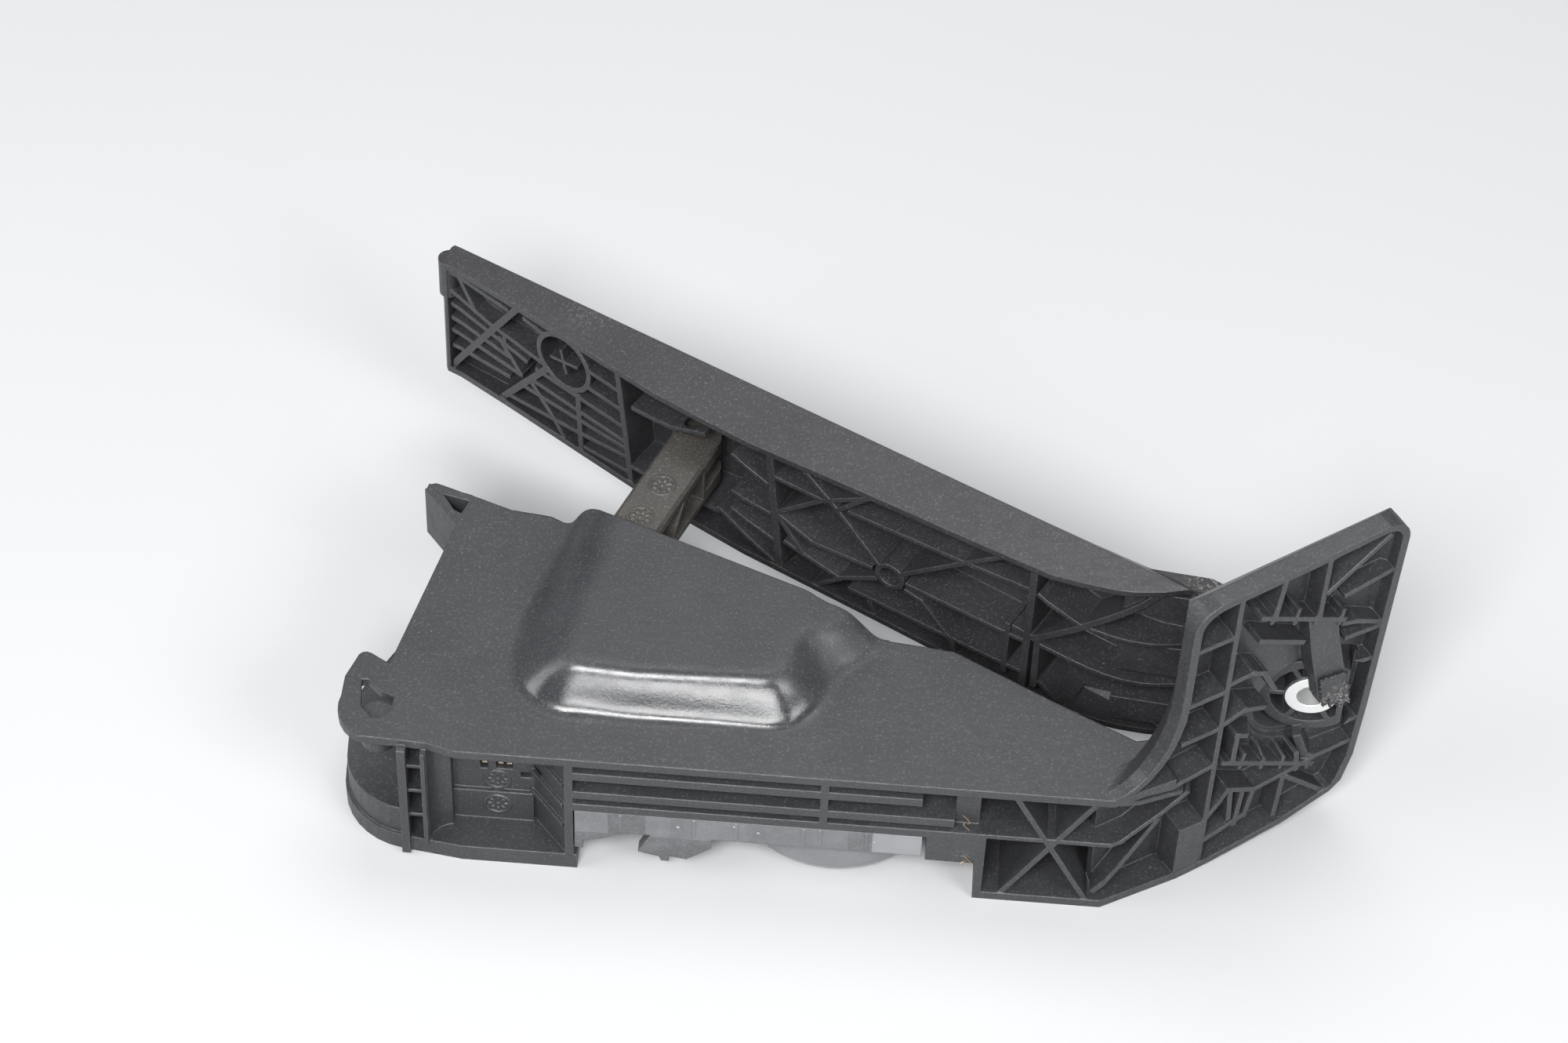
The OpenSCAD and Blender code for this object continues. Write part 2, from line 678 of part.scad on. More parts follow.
// Side profile of the pedal: along the tread from the hinge axis, and from it towards the underside
tread_line = [[pedal_len - 1.6, 4.5], [51.5, 4.5], [38.2, 3.3], [25.8, 0.9], [13.9, -2.2], [3.9, -6],
    [0.2, -6], [-2, -5]];
under_line = [[0, 1.5], [3.6, 3.7], [11.2, 9.2], [18.9, 13.3], [24.1, 15.2], [33.3, 17.5], [42.7, 19.4],
    [58, 20], [78.6, 20.6], [101, 21.2], [127, 22.1], [143, 22.7], [163, 22], [176.5, 21.3],
    [206, 17.9], [235, 14.4],
    [pedal_len - 6.2, 12.3]];
free_end = [[pedal_len - 1.4, 12.6], [pedal_len, 11.4], [pedal_len, 6.2], [pedal_len - 0.6, 5]];
flare = 4;
side_slant = atan(flare / 18);
side_taper = atan((pedal_w_low - pedal_w_high) / 2 / pedal_len);

// Solid that runs across the pedal under a side profile, its sides drawn in by a wall's thickness
module pedal_form(inset) {
    difference() {
        translate([0, 0, -pedal_w_low]) linear_extrude(2 * pedal_w_low) children();
        for (s = [0, 1]) mirror([0, 0, s]) translate([0, 4.5, pedal_w_low / 2 - inset])
            rotate([-side_slant, side_taper, 0]) translate([-60, -60, 0]) cube([420, 120, 60]);
        // Slightly drawn-in edge along the tread
        for (s = [0, 1]) mirror([0, 0, s]) translate([0, 5.5, pedal_w_low / 2 - inset])
            rotate([45, side_taper, 0]) translate([-60, -40, 0]) cube([420, 60, 60]);
    }
}

// Point of the pedal's underside above a point of the module's own plan
function on_under(p) = [(hinge_x - p[0] - sin(pedal_slope) * lookup(p[0], [[12, 13], [60, 19.5],
    [100, 22.5], [160, 21], [215, 15]])) / cos(pedal_slope), p[1] - pedal_z];

module rib(points, w = 1.5) {
    chain2d([for (p = points) on_under(p)], w);
}

// Ribs of the underside, each drawn through points of the plan, along the module and across it
module pedal_ribs_2d() {
    // Free end
    rib([[10.5, 28], [12.9, 32.9], [32.5, 69.7], [36, 76]], 2.2);
    rib([[24, 22], [27.5, 28], [42.5, 52.7]], 2.2);
    rib([[54.5, 22], [54.5, 26.9], [53.5, 50.6]], 1.9);
    rib([[72, 22], [71.1, 28.9], [69.5, 45.8], [66.8, 69.6], [66, 78]], 2);
    rib([[6, 64.5], [8.3, 62.9], [24.2, 57.6], [42.5, 54.9]]);
    rib([[7, 57.4], [10.9, 56.6], [36.1, 51.3]]);
    rib([[8, 51], [30, 48.4]]);
    rib([[8, 45.4], [34.3, 43.6]]);
    rib([[9, 38.4], [30, 39.6]]);
    rib([[10, 70], [30, 68.4]]);
    rib([[38.3, 44.7], [68.4, 43.7]]);
    rib([[40, 50.6], [68, 49.8]]);
    rib([[56, 57.2], [67.5, 56.6]]);
    rib([[58, 64.4], [67, 64]]);
    rib([[36, 39.6], [54, 40.4], [69, 41]]);
    rib([[29.2, 31], [53.4, 34.6], [69.9, 37.6]]);
    rib([[56, 29.6], [70.6, 31.4]]);
    rib([[13.8, 70.2], [19.4, 59.1]]);
    rib([[27.3, 53.8], [33.9, 44.4]]);
    rib([[38.3, 42.6], [45.4, 33.4], [49.3, 26.9]]);
    rib([[29, 55.1], [29.6, 49.4]]);
    rib([[36, 69], [42, 68]]);
    // Pocket of the link rod
    rib([[72, 60.6], [84, 62.4], [94, 67]]);
    rib([[103.5, 64.8], [113.8, 60.1]]);
    rib([[103.2, 49.3], [114.8, 47.8]]);
    rib([[97.8, 43.7], [117.9, 36.6]]);
    rib([[99.3, 38.8], [118.2, 26.9]]);
    rib([[71.4, 34.6], [99, 37.4]]);
    rib([[114, 82], [114.4, 74], [118.8, 27.8], [119, 18]], 2.2);
    // Truss beyond the rod
    rib([[124, 73.5], [135.1, 62.8], [147.7, 48.1]]);
    rib([[117, 64.2], [131.1, 63.9]]);
    rib([[116.8, 49.1], [130.4, 63.5], [144.5, 73.8]]);
    rib([[139, 64], [173.6, 65.9], [194, 67.5]]);
    rib([[117.5, 49.1], [128.5, 43.8], [145.9, 44.9]]);
    rib([[118.2, 47.6], [126, 36.7]]);
    rib([[120.5, 38.4], [137, 33.9], [147.4, 41.1]]);
    rib([[129.8, 22], [129.8, 25.9], [137, 33.4]]);
    rib([[140.5, 31.3], [170, 31], [193, 31]]);
    rib([[157.2, 44.9], [193, 44.6]]);
    rib([[157, 42], [161.4, 40.9], [172, 29.5], [173, 22]]);
    rib([[155.7, 48.7], [173.6, 65.9], [186.8, 77.8]]);
    rib([[135.7, 63.2], [145.1, 75.1]]);
    rib([[146.6, 29.6], [150.2, 18]]);
    // Hinge end: cross wall, box, crossing ribs and the long curved ribs
    rib([[194, 84], [193.8, 16]], 2.2);
    rib([[190, 48.5], [197, 47.6], [197.2, 28]], 2);
    rib([[188, 48.4], [188, 28]], 1.6);
    rib([[196, 48], [206, 57], [222, 74], [226, 80]], 2.2);
    rib([[196, 66.8], [208, 60], [224, 57.6], [243, 57.4]]);
    rib([[198, 46.2], [212, 42.4], [224, 40], [243, 39.6]]);
    rib([[199, 30], [206, 22]]);
}
boss_at = [151.9, 45.1];
pocket_at = [48.9, 61.5];
pocket_r = 9.2;
lug_w = 9.6;
end_lug_z = tower_gap / 2 + tower_w / 2 + seat_gap;
saddle_gap = 0.9;

module pedal() {
    color([0.2, 0.2, 0.21]) to_frame() in_pedal() difference() {
        union() {
            difference() {
                pedal_form(0) polygon(concat(tread_line, under_line, free_end));
                pedal_form(side_t) polygon(concat(
                    [for (p = tread_line) [min(p[0], pedal_len - 1.8) - 0.6, p[1] + tread_t]], [[-3.6, 50],
                    [pedal_len - 2.4, 50]]));
            }
            // Ribs, ring pocket and small boss, trimmed to the pedal's own form
            intersection() {
                translate([0, 30, 0]) rotate([90, 0, 0]) linear_extrude(32) {
                    difference() {
                        pedal_ribs_2d();
                        translate(on_under(pocket_at)) circle(pocket_r);
                        translate(on_under(boss_at)) circle(3.4);
                        translate([up_t - 16, -rod_t / 2 - 1.8]) square([27, rod_t + 3.6]);
                    }
                    ring_2d(on_under(pocket_at), pocket_r, 1.7);
                    ring_2d(on_under(boss_at), 3.4, 1.5);
                    translate(on_under(pocket_at)) chain2d([[-5, 1], [5, -1]], 1);
                    translate(on_under(pocket_at)) chain2d([[1, 4], [-1, -4]], 1);
                }
                pedal_form(1) polygon(concat([for (p = tread_line) p + [-1, 1]],
                    [for (p = under_line) p - [0, 0.5]], [[pedal_len - 3, 11.8]]));
            }
            // Lug for the upper link pin, in the slot of the link rod's end
            translate([up_t, up_n, -up_lug_t / 2]) {
                cylinder(r = link_pin_r + saddle_gap + 2, h = up_lug_t);
                translate([-4.8, -11.2, 0]) cube([9.6, 10, up_lug_t]);
            }
            // Rounded nose that stands out beyond the free end
            translate([pedal_len - 1, 9.2, 9]) cylinder(r = 3.3, h = 14);
            // Hinge lugs at the lower end
            for (z = [-end_lug_z - lug_w, end_lug_z]) pedal_lug(z, lug_w);
            pedal_lug(-tower_gap / 2 + tower_w / 2 + seat_gap, tower_gap - tower_w - 2 * seat_gap);
        }
        translate([up_t, up_n, -rod_t]) cylinder(r = link_pin_r + saddle_gap, h = 2 * rod_t);
        translate([0, 0, -40]) cylinder(r = hinge_pin_r + run_gap, h = 80);
        // Room for the two hinge towers
        for (s = [-1, 1]) translate([0, 0, s * tower_gap / 2 - tower_w / 2 - seat_gap])
            cylinder(r = knuckle_r + 0.8, h = tower_w + 2 * seat_gap);
    }
}
up_lug_t = 6.4;

// Ring drawn round a point
module ring_2d(p, r, w) {
    translate(p) difference() {
        circle(r + w);
        circle(r);
    }
}

// Lug of the pedal round the hinge pin, joined to the end of the tread
module pedal_lug(z, w) {
    translate([0, 0, z]) {
        cylinder(r = knuckle_r - 0.5, h = w);
        linear_extrude(w) polygon([[-2, -4.4], [0.2, -5.4], [3.9, -5.4], [14, -1.2], [22, 2], [24, 8], [22, 12],
            [3, 4]]);
    }
}

module hinge_pin() {
    len = tower_gap + tower_w + 2 * (lug_w + seat_gap);
    color([0.7, 0.7, 0.72]) to_frame() translate([hinge_x, hinge_y, pedal_z - len / 2])
        cylinder(r = hinge_pin_r, h = len);
}

// Link rod: I-shaped bar with see-through slots, a narrow lower eye and an upper eye
eye_r = 6.5;
lower_eye_t = 7;
rod_edge = 1;
module link_rod() {
    color([0.17, 0.16, 0.15]) to_frame() in_rod() difference() {
        union() {
            translate([0, 0, -lower_eye_t / 2]) cylinder(r = eye_r, h = lower_eye_t);
            translate([0, -eye_r, -lower_eye_t / 2]) cube([14, 2 * eye_r, lower_eye_t]);
            translate([rod_len, 0, -rod_t / 2]) cylinder(r = rod_w / 2, h = rod_t);
            difference() {
                translate([13, 0, 0]) rotate([90, 0, 90]) linear_extrude(rod_len - 13)
                    polygon([for (m = [[1, 1], [-1, 1], [-1, -1], [1, -1]], k = [0, 1])
                        let (c = m[0] * m[1] > 0 ? [k, 1 - k] : [1 - k, k])
                        [m[0] * (rod_w / 2 - rod_edge * c[0]), m[1] * (rod_t / 2 - rod_edge * c[1])]]);
                // Three slots through the sides, leaving slanted webs
                translate([0, rod_w, 0]) rotate([90, 0, 0]) linear_extrude(2 * rod_w) {
                    polygon([[17, 5.8], [26, -4.6], [34, 5.8]]);
                    polygon([[26.5, -5.8], [36.5, 5.6], [rod_len - 10, 5.8], [rod_len - 10, -5.8]]);
                }
            }
            // Generic round moulding marks on the flat side
            for (x = [20, 34]) translate([x, 0, rod_t / 2 - 0.2]) difference() {
                cylinder(r = 4, h = 0.5);
                cylinder(r = 3.3, h = 1);
            }
        }
        translate([0, 0, -rod_t]) cylinder(r = link_pin_r + run_gap, h = 2 * rod_t);
        translate([rod_len, 0, -rod_t / 2 + 2]) cylinder(r = link_pin_r, h = rod_t - 4);
        translate([rod_len - 8.6, -rod_w, -up_lug_t / 2 - 0.6]) cube([30, 2 * rod_w, up_lug_t + 1.2]);
    }
}

module link_pin_upper() {
    len = rod_t - 4;
    color([0.7, 0.7, 0.72]) to_frame() translate([up_x, up_y, pedal_z - len / 2])
        cylinder(r = link_pin_r, h = len);
}

// Fork of the drive lever
cheek_t = 2.8;
cheek_gap = 0.3;
fork_low = pedal_z - lower_eye_t / 2 - cheek_gap - cheek_t;
fork_high = pedal_z + lower_eye_t / 2 + cheek_gap;
module link_pin_lower() {
    color([0.7, 0.7, 0.72]) to_frame() translate([low_x, low_y, fork_low - 2])
        cylinder(r = link_pin_r, h = fork_high + cheek_t - fork_low + 2);
}

module link_pin_clip() {
    color([0.55, 0.55, 0.57]) to_frame() translate([low_x, low_y, fork_low - 1.6]) difference() {
        cylinder(r = link_pin_r + 1.6, h = 1);
        translate([0, 0, -1]) cylinder(r = link_pin_r, h = 3);
        translate([0, -0.8, -1]) cube([8, 1.6, 3]);
    }
}

hub_z0 = deck_top + 1.1;
hub_z1 = upper_bush_z - seat_gap;
arm_z0 = deck_top + 7.6;
arm_end_w = 5.6;
module drive_lever() {
    arm_h = min(hub_z1, plate_z - 0.8) - arm_z0;
    color([0.24, 0.24, 0.26]) to_frame() in_arm() difference() {
        union() {
            translate([0, 0, hub_z0]) cylinder(r = shaft_r + 2.4, h = hub_z1 - hub_z0);
            translate([0, 0, arm_z0]) cylinder(r = hub_r + 3, h = arm_h);
            // Tapered arm with a flange round its web
            translate([0, 0, arm_z0]) linear_extrude(arm_h) difference() {
                polygon([[0, -hub_r + 1], [0, hub_r - 1], [arm_len - 12, arm_end_w], [arm_len - 12, -arm_end_w]]);
                polygon([[hub_r + 6, -hub_r + 4], [hub_r + 6, hub_r - 4], [arm_len - 20, arm_end_w - 2.4],
                    [arm_len - 20, -arm_end_w + 2.4]]);
            }
            translate([0, 0, arm_z0]) linear_extrude(2.4) polygon([[0, -hub_r + 1], [0, hub_r - 1],
                [arm_len - 12, arm_end_w], [arm_len - 12, -arm_end_w]]);
            // Riser and the two cheeks of the fork
            translate([arm_len - 18, -eye_r, arm_z0]) cube([8, 2 * eye_r, fork_high + cheek_t - arm_z0]);
            for (z = [fork_low, fork_high]) translate([0, 0, z]) {
                translate([arm_len - 12, -eye_r, 0]) cube([12, 2 * eye_r, cheek_t]);
                translate([arm_len, 0, 0]) cylinder(r = eye_r, h = cheek_t);
            }
        }
        translate([0, 0, hub_z0 - 1]) cylinder(r = shaft_r, h = plate_z);
        translate([arm_len, 0, fork_low - 1]) cylinder(r = link_pin_r, h = 40);
    }
}

shaft_z0 = drum_z + 6.6;
shaft_z1 = plate_z - 0.1;
module pivot_shaft() {
    color([0.72, 0.72, 0.74]) to_frame() at_pivot() translate([0, 0, shaft_z0]) {
        cylinder(r = shaft_r, h = shaft_z1 - shaft_z0);
    }
}

module bush(z, h) {
    to_frame() at_pivot() translate([0, 0, z]) difference() {
        cylinder(r = shaft_r + bush_wall, h = h);
        translate([0, 0, -1]) cylinder(r = shaft_r + run_gap, h = h + 2);
    }
}

module shaft_bush_upper() {
    color([0.75, 0.68, 0.5]) bush(upper_bush_z, bush_h);
}

module shaft_bush_lower() {
    color([0.75, 0.68, 0.5]) bush(deck_z, deck_t);
}

// Torsion spring: a flat stack of turns with a leg to the fixed post and a tang up to the lever
module torsion_spring(r, wire, z0, turns, leg_turn, leg_angle, leg_len) {
    top = z0 + wire * (turns - 0.5) * 0.98;
    leg_r = wire / 2 - 0.08;
    to_frame() at_pivot() {
        for (k = [0:turns - 1]) translate([0, 0, z0 + wire * (k + 0.5) * 0.98]) rotate_extrude()
            translate([r, 0]) circle(wire / 2, $fn = 16);
        rotate(leg_angle) translate([0, r, z0 + wire * (leg_turn + 0.5) * 0.98]) rotate([0, 90, 0])
            cylinder(r = leg_r, h = leg_len, $fn = 16);
        rotate(arm_angle) translate([r, 0, top]) cylinder(r = leg_r, h = arm_z0 - seat_gap - top, $fn = 16);
    }
}

spring_post = [160, 30];
outer_spring_r = 13.4;
inner_spring_r = 9.8;
spring_z = deck_top + seat_gap;
post_r = norm([spring_post[0] - pivot_x, spring_post[1] - pivot_y]);
post_angle = atan2(spring_post[1] - pivot_y, spring_post[0] - pivot_x);
function leg_turned(r, wire) = post_angle + acos((r + wire / 2 + 2.6) / post_r) - 90;
function leg_reach(r, wire) = sqrt(post_r * post_r - pow(r + wire / 2 + 2.6, 2)) + 2.4;
module return_spring_outer() {
    color([0.5, 0.5, 0.52]) torsion_spring(outer_spring_r, wire_outer, spring_z, 2, 0,
        leg_turned(outer_spring_r, wire_outer), leg_reach(outer_spring_r, wire_outer));
}

module return_spring_inner() {
    color([0.5, 0.5, 0.52]) torsion_spring(inner_spring_r, wire_inner, spring_z, 4, 3,
        leg_turned(inner_spring_r, wire_inner), leg_reach(inner_spring_r, wire_inner));
}

module friction_ring() {
    color([0.35, 0.3, 0.25]) to_frame() at_pivot() translate([0, 0, deck_top]) difference() {
        cylinder(r = 7.6, h = 0.8);
        translate([0, 0, -1]) cylinder(r = shaft_r + 0.4, h = 3);
    }
}

// Posts of the stops stand just outside the lever's swept path
pad_r = 3.8;
pad_at = 50;
travel = 24.8;
pad_off = hub_r - 1 - (hub_r - 1 - arm_end_w) * pad_at / (arm_len - 12) + pad_r + seat_gap;
idle_post = polar(pad_at, -pad_off, arm_angle);
full_post = polar(pad_at, pad_off, arm_angle + travel);
module stop_pad(p) {
    color([0.1, 0.1, 0.1]) to_frame() translate([p[0], p[1], arm_z0 - 1]) difference() {
        cylinder(r = pad_r, h = plate_z - arm_z0 - 1);
        translate([0, 0, -1]) cylinder(r = 2.6 + run_gap, h = 30);
    }
}

module idle_stop_pad() stop_pad(idle_post);
module full_stop_pad() stop_pad(full_post);

// Sensor unit under the raised floor
drum_y = pivot_y - 6;
tray_x0 = bay_x1 + 1.8;
tray_x1 = deck_x1 - 15.7;
tray_y1 = 54;
module screw_holes(r, z, h) {
    for (p = screw_places) translate([p[0], p[1], z]) cylinder(r = r, h = h);
}
screw_places = [[80, 50], [80, 12], [176.4, 34]];

module sensor_housing() {
    lid_t = 2;
    color([0.36, 0.37, 0.38]) to_frame() difference() {
        union() {
            // Tray with its tiled front strip
            difference() {
                translate([tray_x0, 0.2, strip_z]) cube([tray_x1 - tray_x0, tray_y1, strip_h]);
                translate([tray_x0 + 2, 2.4, strip_z + lid_t])
                    cube([tray_x1 - tray_x0 - 4, tray_y1 - 4.2, strip_h]);
            }
            translate([162, 22, strip_z]) cube([18.4, 18, 2.4]);
            screw_posts();
            for (x = [80.5, 101.4, 113.5, 132.6, 137.4, 150.6]) translate([x, 0, strip_z + 0.6])
                cube([1, 1, strip_h - 1.2]);
            // Round drum for the angle sensor
            translate([pivot_x, drum_y, drum_z]) cylinder(r = drum_r, h = drum_h + 1);
            // Foot at the left end and clip hook
            translate([bay_x1 + 1.8, 0.2, strip_z - 8]) cube([2.4, 6, 9]);
            upright(0.2, 3) polygon([[bay_x1 + 3, strip_z + 1], [bay_x1 + 3, strip_z - 5],
                [bay_x1 + 10, strip_z - 3], [bay_x1 + 16, strip_z + 1]]);
            upright(0.2, 4) polygon([[90, strip_z + 1], [86, strip_z - 8], [92, strip_z - 9.5],
                [92.6, strip_z - 11.4], [95, strip_z - 11.4], [95, strip_z - 9], [100, strip_z - 10],
                [107, strip_z - 4], [107, strip_z + 1]]);
        }
        // Hollow of the drum, which holds the board and the magnet
        translate([pivot_x, drum_y, drum_z + 1.6]) cylinder(r = drum_r - 2.2, h = drum_h + 2);
        screw_holes(1.6, strip_z - 1, strip_h + 2);
        // Room for the screws' heads
        screw_holes(3 + seat_gap, drum_z - 1, strip_z - drum_z + 1);
    }
}

module screw_posts() {
    for (p = screw_places) translate([p[0], p[1], strip_z]) cylinder(r = 3.6, h = p[0] > 170 ? 2.4 : strip_h);
}

module sensor_cover() {
    color([0.55, 0.56, 0.57]) to_frame() translate([pivot_x, drum_y, drum_z - 2]) difference() {
        cylinder(r = drum_r - 1, h = 2);
        translate([0, 0, 0.8]) cylinder(r = drum_r - 4, h = 2);
    }
}

board_z = drum_z + 1.6;
module sensor_board() {
    color([0.1, 0.35, 0.2]) to_frame() translate([pivot_x, drum_y, board_z]) difference() {
        cylinder(r = drum_r - 3, h = 1.4);
        translate([-drum_r, -drum_r, -1]) cube([2 * drum_r, 11, 4]);
    }
}

module sensor_chip() {
    color([0.08, 0.08, 0.08]) to_frame() translate([pivot_x - 3, pivot_y - 3, board_z + 1.4]) {
        cube([6, 6, 1.2]);
        for (k = [0:3]) for (s = [-1.2, 6]) translate([0.4 + k * 1.5, s, 0]) cube([0.6, 1.2, 0.4]);
    }
}

carrier_z = shaft_z0 - 0.6;
module magnet_carrier() {
    color([0.3, 0.3, 0.32]) to_frame() at_pivot() translate([0, 0, carrier_z]) difference() {
        cylinder(r = shaft_r + 3, h = 6);
        translate([0, 0, 0.6]) cylinder(r = shaft_r, h = 8);
        translate([0, 0, -1]) cylinder(r = shaft_r - 0.5, h = 3);
    }
}

module magnet() {
    color([0.45, 0.45, 0.48]) to_frame() at_pivot() translate([0, 0, carrier_z - 1])
        cylinder(r = shaft_r - 0.5, h = 1.6);
}

module sensor_seal() {
    color([0.12, 0.12, 0.12]) to_frame() translate([0, 0, strip_z + strip_h]) linear_extrude(seat_gap)
        difference() {
            translate([tray_x0 + 0.2, 1]) square([tray_x1 - tray_x0 - 0.4, tray_y1 - 1.4]);
            translate([tray_x0 + 1.8, 2.3]) square([tray_x1 - tray_x0 - 3.6, tray_y1 - 4]);
        }
}

module sensor_screws() {
    head_h = 1.8;
    color([0.6, 0.6, 0.62]) to_frame() for (p = screw_places) translate([p[0], p[1], strip_z - head_h]) {
        difference() {
            cylinder(r = 3, h = head_h);
            translate([0, 0, -0.6]) cylinder(r = 1.3, h = 1.4, $fn = 6);
        }
        cylinder(r = 1.4, h = deck_top - strip_z + head_h - 0.4);
    }
}

// Insulator and contact pins behind the connector bay's back wall
block_y = 15.4;
module connector_block() {
    color([0.14, 0.14, 0.15]) to_frame() difference() {
        translate([36, block_y, bay_floor_z]) cube([18, 12, plate_z - bay_floor_z - seat_gap]);
        for (p = pin_places) translate([p[0], block_y - 1, p[1]]) cube([1.6, 20, 0.8]);
    }
}
pin_places = [for (x = [39.9, 44.5, 47], z = [27.8, 29.6]) [x, z]];

module terminal_pins() {
    color([0.8, 0.7, 0.4]) to_frame() for (p = pin_places)
        translate([p[0], block_y - 1.6, p[1]]) cube([1.6, 17, 0.8]);
}

base_frame();
heel_bush();
pedal();
hinge_pin();
link_rod();
link_pin_upper();
link_pin_lower();
link_pin_clip();
drive_lever();
pivot_shaft();
shaft_bush_upper();
shaft_bush_lower();
return_spring_outer();
return_spring_inner();
friction_ring();
idle_stop_pad();
full_stop_pad();
magnet_carrier();
magnet();
sensor_housing();
sensor_cover();
sensor_board();
sensor_chip();
sensor_seal();
sensor_screws();
connector_block();
terminal_pins();
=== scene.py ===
# Looks of the accelerator pedal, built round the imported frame, in metres and in the part's own frame
import math

import bmesh
import bpy
import numpy
from mathutils import Matrix, Vector, noise
from mathutils.bvhtree import BVHTree


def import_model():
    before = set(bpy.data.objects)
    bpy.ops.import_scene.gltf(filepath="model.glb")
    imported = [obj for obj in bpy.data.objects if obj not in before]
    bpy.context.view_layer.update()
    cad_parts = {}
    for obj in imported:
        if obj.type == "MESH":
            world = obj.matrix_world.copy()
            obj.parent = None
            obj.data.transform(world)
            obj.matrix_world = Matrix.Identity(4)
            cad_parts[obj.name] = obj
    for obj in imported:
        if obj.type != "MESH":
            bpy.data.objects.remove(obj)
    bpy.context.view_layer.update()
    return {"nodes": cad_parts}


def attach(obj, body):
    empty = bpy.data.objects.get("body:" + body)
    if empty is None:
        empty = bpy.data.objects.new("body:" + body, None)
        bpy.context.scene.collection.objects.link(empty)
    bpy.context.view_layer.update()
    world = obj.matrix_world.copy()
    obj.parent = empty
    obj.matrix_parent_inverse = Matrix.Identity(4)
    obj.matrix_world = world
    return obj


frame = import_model()
nodes = frame["nodes"]
scene = bpy.context.scene

# The drawing is in millimetres from the left end, the floor-facing plane and the table. ORIGIN is the
# place of the frame's origin in it, and the heel plate bends away at HEEL_X and FACE_Y
ORIGIN = Vector((273.9, 40.0, 54.1))
HEEL_BEND = math.radians(33.2)
HEEL_X = 241.4
FACE_Y = 12.5
TABLE_Z = -0.0541
TABLE_GAP = 0.0001


def at(x, y, z):
    """Point of the drawing, in the part's frame and in metres."""
    return (Vector((x, y, z)) - ORIGIN) / 1000


def at_heel(s, v, z):
    """Point of the heel plate: s along it from the bend, v behind its face, z above the table."""
    c, k = math.cos(HEEL_BEND), math.sin(HEEL_BEND)
    return at(HEEL_X + s * c - v * k, FACE_Y + s * k + v * c, z)


def rgb(r, g=None, b=None):
    return (r, r if g is None else g, r if b is None else b, 1.0)


